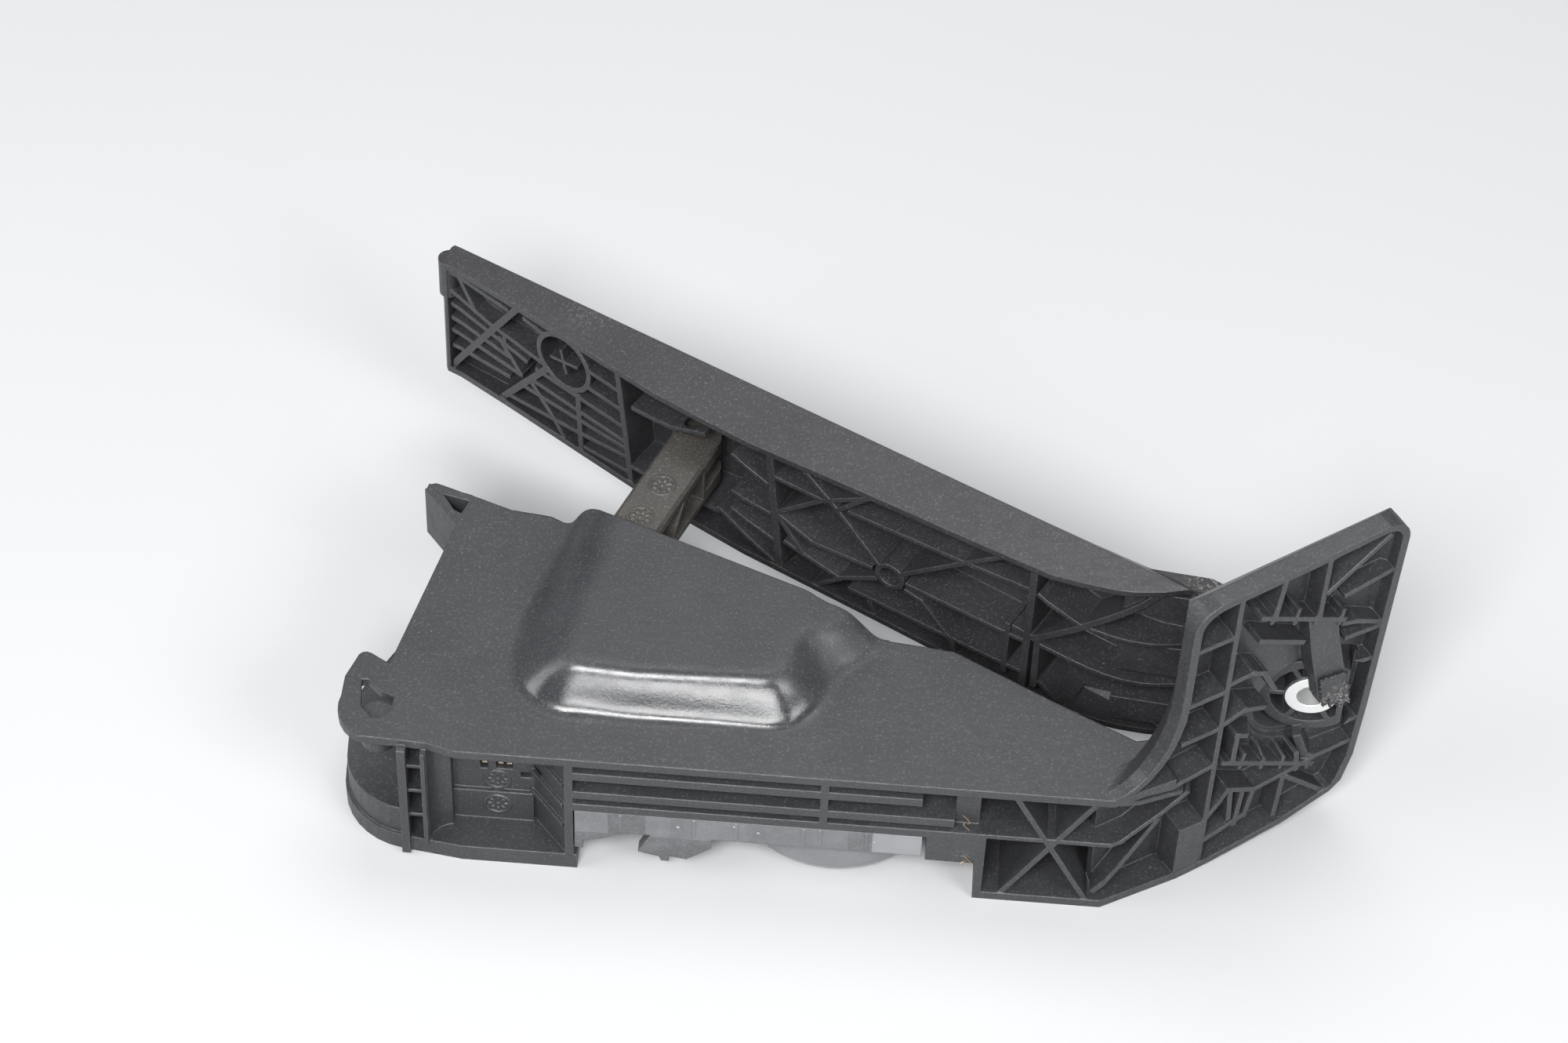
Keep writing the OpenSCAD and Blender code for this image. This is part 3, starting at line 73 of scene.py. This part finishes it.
# Materials
class Nodes:
    """Small helper that adds shader nodes and links them."""

    def __init__(self, name):
        self.material = bpy.data.materials.new(name)
        self.material.use_nodes = True
        self.tree = self.material.node_tree
        self.tree.nodes.clear()
        self.place = self.add("TexCoord").outputs["Object"]

    def add(self, kind, **values):
        node = self.tree.nodes.new("ShaderNode" + kind)
        for key, value in values.items():
            setattr(node, key, value)
        return node

    def put(self, socket, value):
        if isinstance(value, bpy.types.NodeSocket):
            self.tree.links.new(value, socket)
        else:
            socket.default_value = value

    def maths(self, operation, a, b=0.0, clamp=False):
        node = self.add("Math", operation=operation, use_clamp=clamp)
        self.put(node.inputs[0], a)
        self.put(node.inputs[1], b)
        return node.outputs[0]

    def stretched(self, scale, turn=(0, 0, 0)):
        """Object coordinates, scaled and turned."""
        node = self.add("Mapping")
        self.put(node.inputs["Vector"], self.place)
        self.put(node.inputs["Scale"], scale)
        self.put(node.inputs["Rotation"], turn)
        return node.outputs[0]

    def noise(self, scale, detail=2.0, rough=0.5, vector=None):
        node = self.add("TexNoise")
        self.put(node.inputs["Vector"], vector or self.place)
        self.put(node.inputs["Scale"], scale)
        self.put(node.inputs["Detail"], detail)
        self.put(node.inputs["Roughness"], rough)
        return node.outputs[0]

    def span(self, value, a, b, low=0.0, high=1.0, kind="SMOOTHSTEP"):
        """The value's way from a to b, as low to high."""
        node = self.add("MapRange", interpolation_type=kind)
        self.put(node.inputs["Value"], value)
        for key, number in zip(("From Min", "From Max", "To Min", "To Max"), (a, b, low, high)):
            self.put(node.inputs[key], number)
        return node.outputs["Result"]

    def mix(self, share, a, b, blend="MIX"):
        node = self.add("Mix", data_type="RGBA", blend_type=blend)
        self.put(node.inputs[0], share)
        self.put(node.inputs[6], a)
        self.put(node.inputs[7], b)
        return node.outputs[2]

    def specks(self, scale, size, share):
        """Scattered round specks: one in some cells of the given scale."""
        cell = self.add("TexVoronoi", feature="F1")
        self.put(cell.inputs["Vector"], self.place)
        self.put(cell.inputs["Scale"], scale)
        picked = self.span(self.split("SeparateColor", cell.outputs["Color"])[0], 1 - share, 1 - share + 0.01)
        return self.maths("MULTIPLY", self.span(cell.outputs["Distance"], size, size * 0.6), picked)

    def strokes(self, scale, turn):
        """Thin streaks, drawn out along one axis."""
        line = self.span(self.noise(1.0, 2, 0.5, self.stretched(scale, turn)), 0.69, 0.76)
        return self.maths("MULTIPLY", line, self.span(self.noise(60, 3, 0.6), 0.5, 0.62))

    def split(self, kind, value):
        """The three parts of a colour or a place."""
        node = self.add(kind)
        self.put(node.inputs[0], value)
        return node.outputs

    def edges(self, radius):
        """Normal that is rounded over the edges, and a mask of those edges."""
        bevel = self.add("Bevel", samples=6)
        self.put(bevel.inputs["Radius"], radius)
        geometry = self.add("NewGeometry")
        dot = self.add("VectorMath", operation="DOT_PRODUCT")
        self.put(dot.inputs[0], bevel.outputs[0])
        self.put(dot.inputs[1], geometry.outputs["Normal"])
        return bevel.outputs[0], self.span(dot.outputs["Value"], 0.985, 0.8)

    def finish(self, colour, roughness, height, distance, strength, normal, metallic=0.0):
        """Shader with the given surface, and the height as small bumps over the rounded normal."""
        bump = self.add("Bump")
        self.put(bump.inputs["Height"], height)
        self.put(bump.inputs["Distance"], distance)
        self.put(bump.inputs["Strength"], strength)
        self.put(bump.inputs["Normal"], normal)
        shader = self.add("BsdfPrincipled")
        self.put(shader.inputs["Base Color"], colour)
        self.put(shader.inputs["Roughness"], roughness)
        self.put(shader.inputs["Metallic"], metallic)
        self.put(shader.inputs["Normal"], bump.outputs[0])
        output = self.add("OutputMaterial")
        self.put(output.inputs["Surface"], shader.outputs[0])
        return self.material


# Colours of dust and of scuffs, and how much less rough the glossier part of a plastic is
DUST = rgb(0.36, 0.355, 0.34)
SCUFF = rgb(0.3, 0.295, 0.28)
SMOOTHER_BY = 0.22


def plastic(name, colour, worn, rough=0.5, grain=0.6, dust=0.35, wear=0.5, bevel=0.0005,
            scuffs=(), shade=None, smoother=None):
    """Moulded plastic with fine grain, uneven gloss, dust, faint scratches and paler worn edges.

    scuffs are (centre, radius, share), shade gives a colour to multiply by, and smoother a mask of
    the part that is glossier.
    """
    n = Nodes(name)
    blotch = n.noise(34, 5, 0.62)
    cloud = n.noise(9, 3, 0.55)
    fine = n.noise(1250, 3, 0.7)
    flow = n.noise(150, 4, 0.6, n.stretched((1, 4, 1), (0, 0, 0.5)))
    normal, edge = n.edges(bevel)
    base = n.mix(n.span(blotch, 0.3, 0.72), tuple(c * 0.87 for c in colour[:3]) + (1,),
                 tuple(min(1, c * 1.15) for c in colour[:3]) + (1,))
    if shade is not None:
        base = n.mix(1.0, base, shade(n), "MULTIPLY")
    base = n.mix(n.maths("MULTIPLY", n.span(fine, 0.53, 0.66), 0.5 * grain), base, worn)
    rubbed = n.maths("MULTIPLY", edge, n.span(n.noise(260, 4, 0.65), 0.4, 0.68, 0.2, 1))
    base = n.mix(n.maths("MULTIPLY", rubbed, wear), base, worn)
    # Short fine scratches that run two ways
    scratch = n.maths("MAXIMUM", n.strokes((260, 2600, 900), (0.2, 0.1, 0.62)),
                      n.strokes((2400, 300, 900), (0.1, 0, -0.35)))
    base = n.mix(n.maths("MULTIPLY", scratch, 0.7 * dust), base, worn)
    dot = n.maths("MAXIMUM", n.specks(600, 0.15, 0.1), n.specks(1250, 0.22, 0.13))
    lint = n.maths("MULTIPLY", dot, n.span(cloud, 0.42, 0.66, 0.25, 1))
    base = n.mix(n.maths("MULTIPLY", lint, dust), base, DUST)
    gloss = n.maths("ADD", n.span(blotch, 0.25, 0.75, -0.05, 0.05), n.span(flow, 0.3, 0.7, -0.05, 0.05))
    gloss = n.maths("ADD", gloss, n.span(cloud, 0.35, 0.65, -0.04, 0.04))
    gloss = n.maths("ADD", gloss, rough, clamp=True)
    if smoother is not None:
        gloss = n.maths("SUBTRACT", gloss, n.maths("MULTIPLY", smoother(n), SMOOTHER_BY))
    height = n.maths("ADD", n.maths("MULTIPLY", fine, 0.7), n.maths("MULTIPLY", flow, 0.5))
    height = n.maths("ADD", height, n.maths("MULTIPLY", dot, 0.4))
    for centre, radius, share in scuffs:
        away = n.add("VectorMath", operation="DISTANCE")
        n.put(away.inputs[0], n.place)
        n.put(away.inputs[1], centre)
        near = n.span(away.outputs["Value"], radius, radius * 0.35)
        rub = n.maths("MULTIPLY", near, n.span(n.noise(900, 4, 0.7), 0.5, 0.62))
        base = n.mix(n.maths("MULTIPLY", rub, share), base, SCUFF)
        height = n.maths("ADD", height, n.maths("MULTIPLY", rub, 0.8))
    return n.finish(base, gloss, height, 0.00008, grain, normal)


def metal(name, colour, dark, rough):
    """Metal with fine drawn scratches and duller patches."""
    n = Nodes(name)
    lines = n.noise(1.0, 3, 0.6, n.stretched((60, 60, 900)))
    patch = n.noise(120, 4, 0.6)
    normal = n.edges(0.0003)[0]
    base = n.mix(n.maths("MULTIPLY", n.span(patch, 0.5, 0.75), 0.4), colour, dark)
    gloss = n.maths("ADD", n.span(lines, 0.3, 0.7, -0.06, 0.08),
                    n.span(patch, 0.45, 0.75, rough, rough + 0.16))
    return n.finish(base, gloss, lines, 0.00003, 0.35, normal, metallic=1.0)


def front_slope(n):
    """Mask of the bulge's front slope, which is glossier than the rest."""
    x, y, z = n.split("SeparateXYZ", n.place)
    # Left of the bulge's right end, in front of its crest and above the side plate
    start, full = at(152, 27, 49.8), at(147, 23, 50.8)
    slope = n.maths("MULTIPLY", n.span(y, start.y, full.y), n.span(z, start.z, full.z))
    return n.maths("MULTIPLY", slope, n.span(x, start.x, full.x))


def strip_shade(n):
    """Greys of the tiles along the sensor's front strip, and the paler drum under it."""
    x, y, z = n.split("SeparateXYZ", n.place)
    left, right = 60, 180

    def steps(stops):
        """Greys that change at the given places from left to right."""
        ramp = n.add("ValToRGB")
        n.put(ramp.inputs[0], n.span(x, at(left, 0, 0).x, at(right, 0, 0).x, kind="LINEAR"))
        band = ramp.color_ramp
        band.interpolation = "CONSTANT"
        while len(band.elements) < len(stops):
            band.elements.new(0.5)
        for element, (edge, grey) in zip(band.elements, stops):
            element.position = (edge - left) / (right - left)
            element.color = rgb(grey)
        return ramp.outputs[0]

    tiles = steps([(left, 0.62), (77.1, 0.4), (87.8, 0.6), (95.1, 0.54), (98.7, 0.58), (101.9, 0.64),
                   (116.8, 0.58), (123.6, 0.6), (139.1, 0.62), (145.5, 0.48), (152.7, 0.98)])
    below = steps([(left, 0.42), (107.5, 0.8)])
    corner = at(0, 1.6, 17)
    front = n.maths("MULTIPLY", n.maths("LESS_THAN", y, corner.y), n.maths("GREATER_THAN", z, corner.z))
    shade = n.mix(front, below, tiles)
    return n.mix(n.span(n.noise(210, 3, 0.6), 0.4, 0.7, 0, 0.25), shade, rgb(0.9))


materials = {
    "frame_plastic": plastic("frame_plastic", rgb(0.035, 0.036, 0.039), rgb(0.15, 0.15, 0.16), 0.45,
                             dust=0.45, wear=0.7, bevel=0.0007, smoother=front_slope,
                             scuffs=[(at_heel(46, 0, 57), 0.010, 0.8), (at(178.6, 2, 20), 0.004, 0.3)]),
    "pedal_plastic": plastic("pedal_plastic", rgb(0.03, 0.03, 0.033), rgb(0.14, 0.14, 0.14), 0.42,
                             dust=0.45, wear=0.7,
                             scuffs=[(at(246, 56, 80), 0.013, 0.9), (at(57.7, 152.4, 74), 0.012, 0.22)]),
    "rod_plastic": plastic("rod_plastic", rgb(0.05, 0.046, 0.042), rgb(0.15, 0.14, 0.13), 0.42, 1.0),
    "lever_plastic": plastic("lever_plastic", rgb(0.07, 0.07, 0.075), rgb(0.2, 0.2, 0.2), 0.5),
    "sensor_plastic": plastic("sensor_plastic", rgb(0.24, 0.247, 0.258), rgb(0.27, 0.27, 0.28), 0.42,
                              dust=0.6, shade=strip_shade),
    "cover_plastic": plastic("cover_plastic", rgb(0.3, 0.31, 0.32), rgb(0.5, 0.5, 0.5), 0.38, 0.3),
    "bush_metal": metal("bush_metal", rgb(0.95, 0.95, 0.94), rgb(0.74, 0.76, 0.8), 0.36),
    "steel": metal("steel", rgb(0.62, 0.62, 0.63), rgb(0.4, 0.39, 0.38), 0.3),
    "spring_steel": metal("spring_steel", rgb(0.5, 0.5, 0.5), rgb(0.3, 0.29, 0.28), 0.34),
    "bronze": metal("bronze", rgb(0.6, 0.42, 0.24), rgb(0.36, 0.25, 0.15), 0.36),
    "friction": plastic("friction", rgb(0.16, 0.12, 0.08), rgb(0.3, 0.25, 0.2), 0.7, 1.0),
    "rubber": plastic("rubber", rgb(0.03, 0.03, 0.03), rgb(0.1, 0.1, 0.1), 0.75, 0.8, 0.5),
    "board": plastic("board", rgb(0.03, 0.16, 0.07), rgb(0.1, 0.3, 0.16), 0.35, 0.3),
    "chip": plastic("chip", rgb(0.03, 0.03, 0.032), rgb(0.1, 0.1, 0.1), 0.45, 0.6),
    "magnet": metal("magnet", rgb(0.3, 0.3, 0.32), rgb(0.2, 0.2, 0.2), 0.4),
    # The contact pins' brass is darkened as painted shade of the connector slots they sit in
    "contact": metal("contact", rgb(0.34, 0.3, 0.22), rgb(0.25, 0.24, 0.22), 0.4),
}
finishes = {
    "frame_plastic": ["base_frame", "connector_block"],
    "pedal_plastic": ["pedal"],
    "rod_plastic": ["link_rod"],
    "lever_plastic": ["drive_lever", "magnet_carrier"],
    "sensor_plastic": ["sensor_housing"],
    "cover_plastic": ["sensor_cover"],
    "bush_metal": ["heel_bush"],
    "steel": ["hinge_pin", "link_pin_upper", "link_pin_lower", "link_pin_clip", "pivot_shaft",
              "sensor_screws"],
    "spring_steel": ["return_spring_outer", "return_spring_inner"],
    "bronze": ["shaft_bush_upper", "shaft_bush_lower"],
    "friction": ["friction_ring"],
    "rubber": ["idle_stop_pad", "full_stop_pad", "sensor_seal"],
    "board": ["sensor_board"],
    "chip": ["sensor_chip"],
    "magnet": ["magnet"],
    "contact": ["terminal_pins"],
}
for slot, names in finishes.items():
    for name in names:
        nodes[name].data.materials.clear()
        nodes[name].data.materials.append(materials[slot])


def bridge(bm, rings):
    """Faces between rings of as many vertices each."""
    for low, high in zip(rings, rings[1:]):
        for k in range(len(low)):
            after = (k + 1) % len(low)
            bm.faces.new((low[k], low[after], high[after], high[k]))


def piece(name, bm, slot, body="base", smooth=True):
    """Object of the finished bmesh, riding on a body of the frame."""
    mesh = bpy.data.meshes.new(name)
    bmesh.ops.recalc_face_normals(bm, faces=bm.faces)
    bm.to_mesh(mesh)
    bm.free()
    for p in mesh.polygons:
        p.use_smooth = smooth
    mesh.materials.append(materials[slot])
    o = bpy.data.objects.new(name, mesh)
    scene.collection.objects.link(o)
    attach(o, body)
    return o


# Outlines of the bulge over the lever, in millimetres: its foot on the side plate, its crest, and the
# edge where it ends over the link rod
FAR_EDGE = [(40, 92), (51.7, 90.4), (62, 85), (92, 73), (135.5, 55.5), (150, 52.5), (160, 52)]
FOOT = [(63.3, 120), (63.3, 91.3), (58.4, 76.5), (53.2, 61.8), (49.3, 49.5), (48.1, 37.6), (48.6, 29.9),
        (50.8, 23.3), (55, 19.4), (61.9, 16.8), (84, 16.5), (104.6, 16.6), (122.3, 16.5), (128, 18.4),
        (132.8, 23.6), (134.5, 26.2), (137.3, 35.1), (140, 39.7), (144.9, 44.1), (149.1, 49.4), (150.5, 56),
        (150.5, 120)]
CREST = [(73, 120), (71.6, 74.2), (66.6, 52.6), (63.4, 34), (62.9, 28.6), (65.4, 25.4), (81.8, 24.4),
         (103.7, 25.2), (120.4, 25.9), (123.6, 28.2), (125.7, 33.1), (127, 40.5), (131.6, 45.5), (138, 47.6),
         (140.6, 52), (141, 120)]
# Top of the side plate, height of the bulge over it, where the bulge gets lower to the right, and the
# ends of its skin
PLATE_TOP = 49.5
BULGE_H = 12.4
BULGE_FALL_X = 127
SKIN_X = (45.5, 153.5)


def away_from(points, line):
    """Distance of every point from a chain of points."""
    best = numpy.full(len(points), 1e9)
    for a, b in zip(numpy.array(line[:-1], float), numpy.array(line[1:], float)):
        d = b - a
        k = numpy.clip(((points - a) @ d) / (d @ d), 0, 1)
        best = numpy.minimum(best, numpy.linalg.norm(points - a - k[:, None] * d, axis=1))
    return best


def within(points, ring):
    """Whether every point lies inside a closed ring."""
    hit = numpy.zeros(len(points), bool)
    for (x0, y0), (x1, y1) in zip(ring, ring[1:] + ring[:1]):
        if y0 != y1:
            cross = (y0 > points[:, 1]) != (y1 > points[:, 1])
            hit ^= cross & (points[:, 0] < x0 + (points[:, 1] - y0) * (x1 - x0) / (y1 - y0))
    return hit


def softened(field, passes):
    """Field of heights with every value drawn towards its four neighbours."""
    for _ in range(passes):
        edge = numpy.pad(field, 1, mode="edge")
        ring = edge[:-2, 1:-1] + edge[2:, 1:-1] + edge[1:-1, :-2] + edge[1:-1, 2:]
        field = field * 0.4 + ring * 0.15
    return field


def bulge_skin():
    """Smooth skin of the bulge, which runs out into the side plate all round and ends at the far edge."""
    columns, rows = 200, 150
    xs = numpy.linspace(*SKIN_X, columns)
    far = numpy.interp(xs, [p[0] for p in FAR_EDGE], [p[1] for p in FAR_EDGE]) + 0.05
    share = numpy.linspace(0, 1, rows)
    x = numpy.repeat(xs[:, None], rows, 1)
    y = FACE_Y + (far[:, None] - FACE_Y) * share[None, :]
    points = numpy.stack([x.ravel(), y.ravel()], 1)
    foot, crest = away_from(points, FOOT), away_from(points, CREST)
    crest[within(points, CREST)] = 0
    # Way from the foot, 0, to the crest, 1
    t = foot / numpy.maximum(foot + crest, 1e-6)
    t[~within(points, FOOT)] = 0
    rise = t + 0.4 * t * (1 - t)
    top = BULGE_H - 0.2 * numpy.clip(points[:, 0] - BULGE_FALL_X, 0, 20)
    form = softened((rise * top).reshape(x.shape), 10)
    shown = softened(((1 - (1 - t) ** 1.4) * top).reshape(x.shape), 40)
    # Height of the frame's own facets, found by rays from above, which the skin has to stay over
    tree = BVHTree.FromObject(nodes["base_frame"], bpy.context.evaluated_depsgraph_get())
    solid = numpy.zeros(len(points))
    for i, (px, py) in enumerate(points):
        hit = tree.ray_cast(at(px, min(py, far[i // rows] - 0.3), 90), Vector((0, 0, -1)))[0]
        solid[i] = hit.z * 1000 + ORIGIN.z - PLATE_TOP if hit else -5
    solid = solid.reshape(x.shape)
    height = numpy.where(solid > 0.15, numpy.maximum(form, solid + 0.12), form)
    for _ in range(14):
        height = softened(height, 2)
        height = numpy.where(solid > 0.15, numpy.maximum(height, solid + 0.06), height)
    # Sunk into the plate where it is flat, so that its rim doesn't show
    height = height - 0.1 + 0.14 * numpy.clip(height / 0.6, 0, 1)
    bm = bmesh.new()
    grid = [[bm.verts.new(at(x[i, j], y[i, j], PLATE_TOP + height[i, j])) for j in range(rows)]
            for i in range(columns)]
    # Lip turned down over the cut edge
    for i in range(columns):
        for out, down in ((0.22, 0.15), (0.3, 0.7), (0.3, 1.5)):
            grid[i].append(bm.verts.new(at(x[i, -1], y[i, -1] + out, PLATE_TOP + height[i, -1] - down)))
    for a, b in zip(grid, grid[1:]):
        for j in range(len(a) - 1):
            bm.faces.new((a[j], b[j], b[j + 1], a[j + 1]))
    o = piece("bulge_skin", bm, "frame_plastic")
    # The facets under the skin are shaded as one soft swell, steepest at its foot
    along = numpy.stack([numpy.gradient(g, axis=0) for g in (x, y, shown)], -1)
    across = numpy.stack([numpy.gradient(g, axis=1) for g in (x, y, shown)], -1)
    normals = numpy.cross(along, across) * (0.62, 1, 1)
    normals /= numpy.linalg.norm(normals, axis=-1, keepdims=True)
    normals = normals.reshape(-1, 3).tolist()
    normals += [list(v.normal) for v in o.data.vertices[len(normals):]]
    o.data.normals_split_custom_set_from_vertices(normals)


def strap_tear():
    """Frayed end of the torn strap, rough and lumpy, over the bush."""
    outline = [(38.6, 69), (40, 60), (40.4, 57), (42.2, 59.4), (43.5, 54.9), (45.3, 57), (46.7, 52.9),
               (48.2, 55.9), (50.6, 53), (49.9, 58.4), (47.6, 68)]
    bm = bmesh.new()
    rows, columns = 70, 54
    grid = {}
    for i in range(columns):
        for j in range(rows):
            s, z = 38 + 13.5 * i / (columns - 1), 52 + 18 * j / (rows - 1)
            p = Vector((s, z, 3)) * 0.55
            edge = noise.noise(p * 2.1) * 0.5
            q = numpy.array([[s + edge, z + noise.noise(p * 1.7 + Vector((5, 0, 0))) * 0.6]])
            if not within(q, outline)[0]:
                continue
            front = numpy.interp(z, [52, 60, 76], [-0.6, -0.8, 0.6])
            lumps = 0.35 + noise.fractal(p * 2.4, 1.0, 2.0, 4) * 0.9
            lumps *= numpy.interp(z, [52, 58, 70], [1.1, 0.9, 0.1])
            grid[i, j] = bm.verts.new(at_heel(s, front - 0.12 - max(0.02, lumps), z))
    for (i, j), a in grid.items():
        if all(k in grid for k in ((i + 1, j), (i + 1, j + 1), (i, j + 1))):
            bm.faces.new((a, grid[i + 1, j], grid[i + 1, j + 1], grid[i, j + 1]))
    loose = [v for v in bm.verts if not v.link_faces]
    bmesh.ops.delete(bm, geom=loose, context="VERTS")
    bmesh.ops.recalc_face_normals(bm, faces=bm.faces)
    bmesh.ops.solidify(bm, geom=bm.faces[:], thickness=-0.0009)
    piece("strap_tear", bm, "frame_plastic", smooth=False)


def dome(bm, centre, u, v, out, a, b, height):
    """Low dome that rises along out, with an oval foot of radii a along u and b along v."""
    sides = 10
    turns = [2 * math.pi * k / sides for k in range(sides)]
    rings = []
    for size, lift in ((1, -0.1), (0.8, 0.55), (0.45, 0.9)):
        rings.append([bm.verts.new(centre + u * a * size * math.cos(k) + v * b * size * math.sin(k)
                                   + out * height * lift) for k in turns])
    bridge(bm, rings)
    bm.faces.new(rings[-1])


def petal_mark(name, centre, u, v, out, slot, body):
    """Generic round moulding mark: eight raised petals round a small dome."""
    r, height = 0.0036, 0.0004
    bm = bmesh.new()
    u, v, out = Vector(u), Vector(v), Vector(out)
    for k in range(8):
        c, s = math.cos(math.pi * k / 4), math.sin(math.pi * k / 4)
        along, across = u * c + v * s, v * c - u * s
        dome(bm, centre + along * r * 0.64, along, across, out, r * 0.3, r * 0.19, height)
    dome(bm, centre, u, v, out, r * 0.2, r * 0.2, height)
    piece(name, bm, slot, body)


def strands():
    """Stray fibres caught at the right end of the slats."""
    steps, sides, thick = 12, 6, 0.00011
    bm = bmesh.new()
    for (x, y, z), turn, size in (((178.4, 0.4, 35.8), 0.4, 2.6), ((179.1, 0.3, 33.4), 1.9, 2.2),
                                  ((180.2, 0.2, 18.2), 1.2, 2.8), ((179.4, 0.1, 16.4), 2.6, 2)):
        line = []
        for k in range(steps + 1):
            a = turn + k * 0.22
            line.append(at(x + size * 0.5 * math.sin(a * 1.3), y - 0.35 - 0.2 * math.sin(k * 0.5),
                           z + size * (k / steps - 0.5) * 1.4 + 0.3 * math.cos(2 * a)))
        rings = []
        for k, p in enumerate(line):
            ahead = (line[min(k + 1, steps)] - line[max(k - 1, 0)]).normalized()
            side = ahead.cross(Vector((0, 1, 0))).normalized()
            up = side.cross(ahead)
            turns = [2 * math.pi * q / sides for q in range(sides)]
            rings.append([bm.verts.new(p + (side * math.cos(q) + up * math.sin(q)) * thick) for q in turns])
        bridge(bm, rings)
    piece("stray_fibres", bm, "bronze")


def paint_dots():
    """Small pale dots on the sensor's front strip."""
    bm = bmesh.new()
    right, up, out = Vector((1, 0, 0)), Vector((0, 0, 1)), Vector((0, -1, 0))
    for x, z, r in ((97.4, 22.4, 0.55), (113.5, 24.6, 0.5), (120.3, 22.4, 0.55), (153.3, 22.3, 0.4)):
        dome(bm, at(x, 0.12, z), right, up, out, r / 1000, r / 1000, 0.0002)
    piece("paint_dots", bm, "cover_plastic")


bulge_skin()
strap_tear()
# Two marks on the rod, along its length from its lower pin, and two in the bay at the left end
ROD_TURN = math.radians(68.0)
c, s = math.cos(ROD_TURN), math.sin(ROD_TURN)
for k, reach in enumerate((20, 34), 1):
    spot = at(70.9 + reach * c, 66 + reach * s, 59)
    petal_mark(f"rod_mark_{k}", spot, (c, s, 0), (-s, c, 0), (0, 0, 1), "rod_plastic", "rod")
for k, spot in enumerate((at(44.4, 12.6, 22.5), at(44.4, 11.2, 12.8)), 1):
    petal_mark(f"bay_mark_{k}", spot, (1, 0, 0), (0, 0, 1), (0, -1, 0), "frame_plastic", "base")
strands()
paint_dots()


# Floor, light and camera
def floor():
    """White table just under the part."""
    n = Nodes("table_top")
    shade = n.noise(3.5, 2)
    diffuse = n.add("BsdfDiffuse")
    n.put(diffuse.inputs["Color"], n.mix(shade, rgb(0.555, 0.561, 0.569), rgb(0.575, 0.581, 0.587)))
    output = n.add("OutputMaterial")
    n.put(output.inputs["Surface"], diffuse.outputs[0])
    bm = bmesh.new()
    bmesh.ops.create_grid(bm, x_segments=2, y_segments=2, size=4)
    mesh = bpy.data.meshes.new("table")
    bm.to_mesh(mesh)
    bm.free()
    mesh.materials.append(n.material)
    o = bpy.data.objects.new("table", mesh)
    o.location = (0, 0, TABLE_Z - TABLE_GAP)
    scene.collection.objects.link(o)


def world():
    """Weak soft light from all round, and a bright backdrop that only the camera sees."""
    w = bpy.data.worlds.new("studio")
    w.use_nodes = True
    tree = w.node_tree
    tree.nodes.clear()
    path = tree.nodes.new("ShaderNodeLightPath")
    mix = tree.nodes.new("ShaderNodeMixShader")
    out = tree.nodes.new("ShaderNodeOutputWorld")
    tree.links.new(path.outputs["Is Camera Ray"], mix.inputs[0])
    for socket, colour, strength in ((1, rgb(0.93, 0.96, 1.0), 0.2), (2, rgb(0.87, 0.88, 0.9), 1.0)):
        light = tree.nodes.new("ShaderNodeBackground")
        light.inputs[0].default_value = colour
        light.inputs[1].default_value = strength
        tree.links.new(light.outputs[0], mix.inputs[socket])
    tree.links.new(mix.outputs[0], out.inputs[0])
    scene.world = w


# Middle of the part, which the lamps look at
CENTRE = Vector((-0.13, 0.04, -0.02))


def softbox(name, azimuth, elevation, distance, size, watts):
    """Rectangular lamp that looks at the part, azimuth in degrees from the front towards the right."""
    data = bpy.data.lights.new(name, "AREA")
    data.shape = "RECTANGLE"
    data.size, data.size_y = size
    data.energy = watts
    o = bpy.data.objects.new(name, data)
    a, e = math.radians(azimuth), math.radians(elevation)
    back = Vector((math.sin(a) * math.cos(e), -math.cos(a) * math.cos(e), math.sin(e)))
    o.location = CENTRE + back * distance
    o.rotation_mode = "QUATERNION"
    o.rotation_quaternion = (-back).to_track_quat("-Z", "Y")
    scene.collection.objects.link(o)
    return o


def camera():
    """The photo's camera, worked out from its straight and level edges."""
    data = bpy.data.cameras.new("camera")
    data.sensor_width, data.lens = 36, 90
    data.clip_start, data.clip_end = 0.05, 20
    o = bpy.data.objects.new("camera", data)
    right = (0.9969878427, 0.0710697326, 0.0310537376)
    up = (-0.0735801549, 0.7401449365, 0.6684096302)
    ahead = (-0.0245194270, 0.6686812141, -0.7431448255)
    place = (-0.1255057683, -0.7185822965, 0.8555213258)
    o.matrix_world = Matrix([[right[i], up[i], -ahead[i], place[i]] for i in range(3)] + [[0, 0, 0, 1]])
    scene.collection.objects.link(o)
    scene.camera = o


floor()
world()
camera()
# The card lights only the reflections
softbox("card", 2, 21, 2.0, (1.1, 0.6), 34).visible_diffuse = False
softbox("key", -12, 48, 2.0, (0.7, 0.6), 40)
softbox("right", 46, 38, 2.0, (0.8, 0.7), 17)
softbox("left", -72, 34, 2.0, (1.0, 0.8), 15)
softbox("back", 170, 68, 1.7, (1.2, 0.9), 11)
scene.view_settings.view_transform = "Standard"
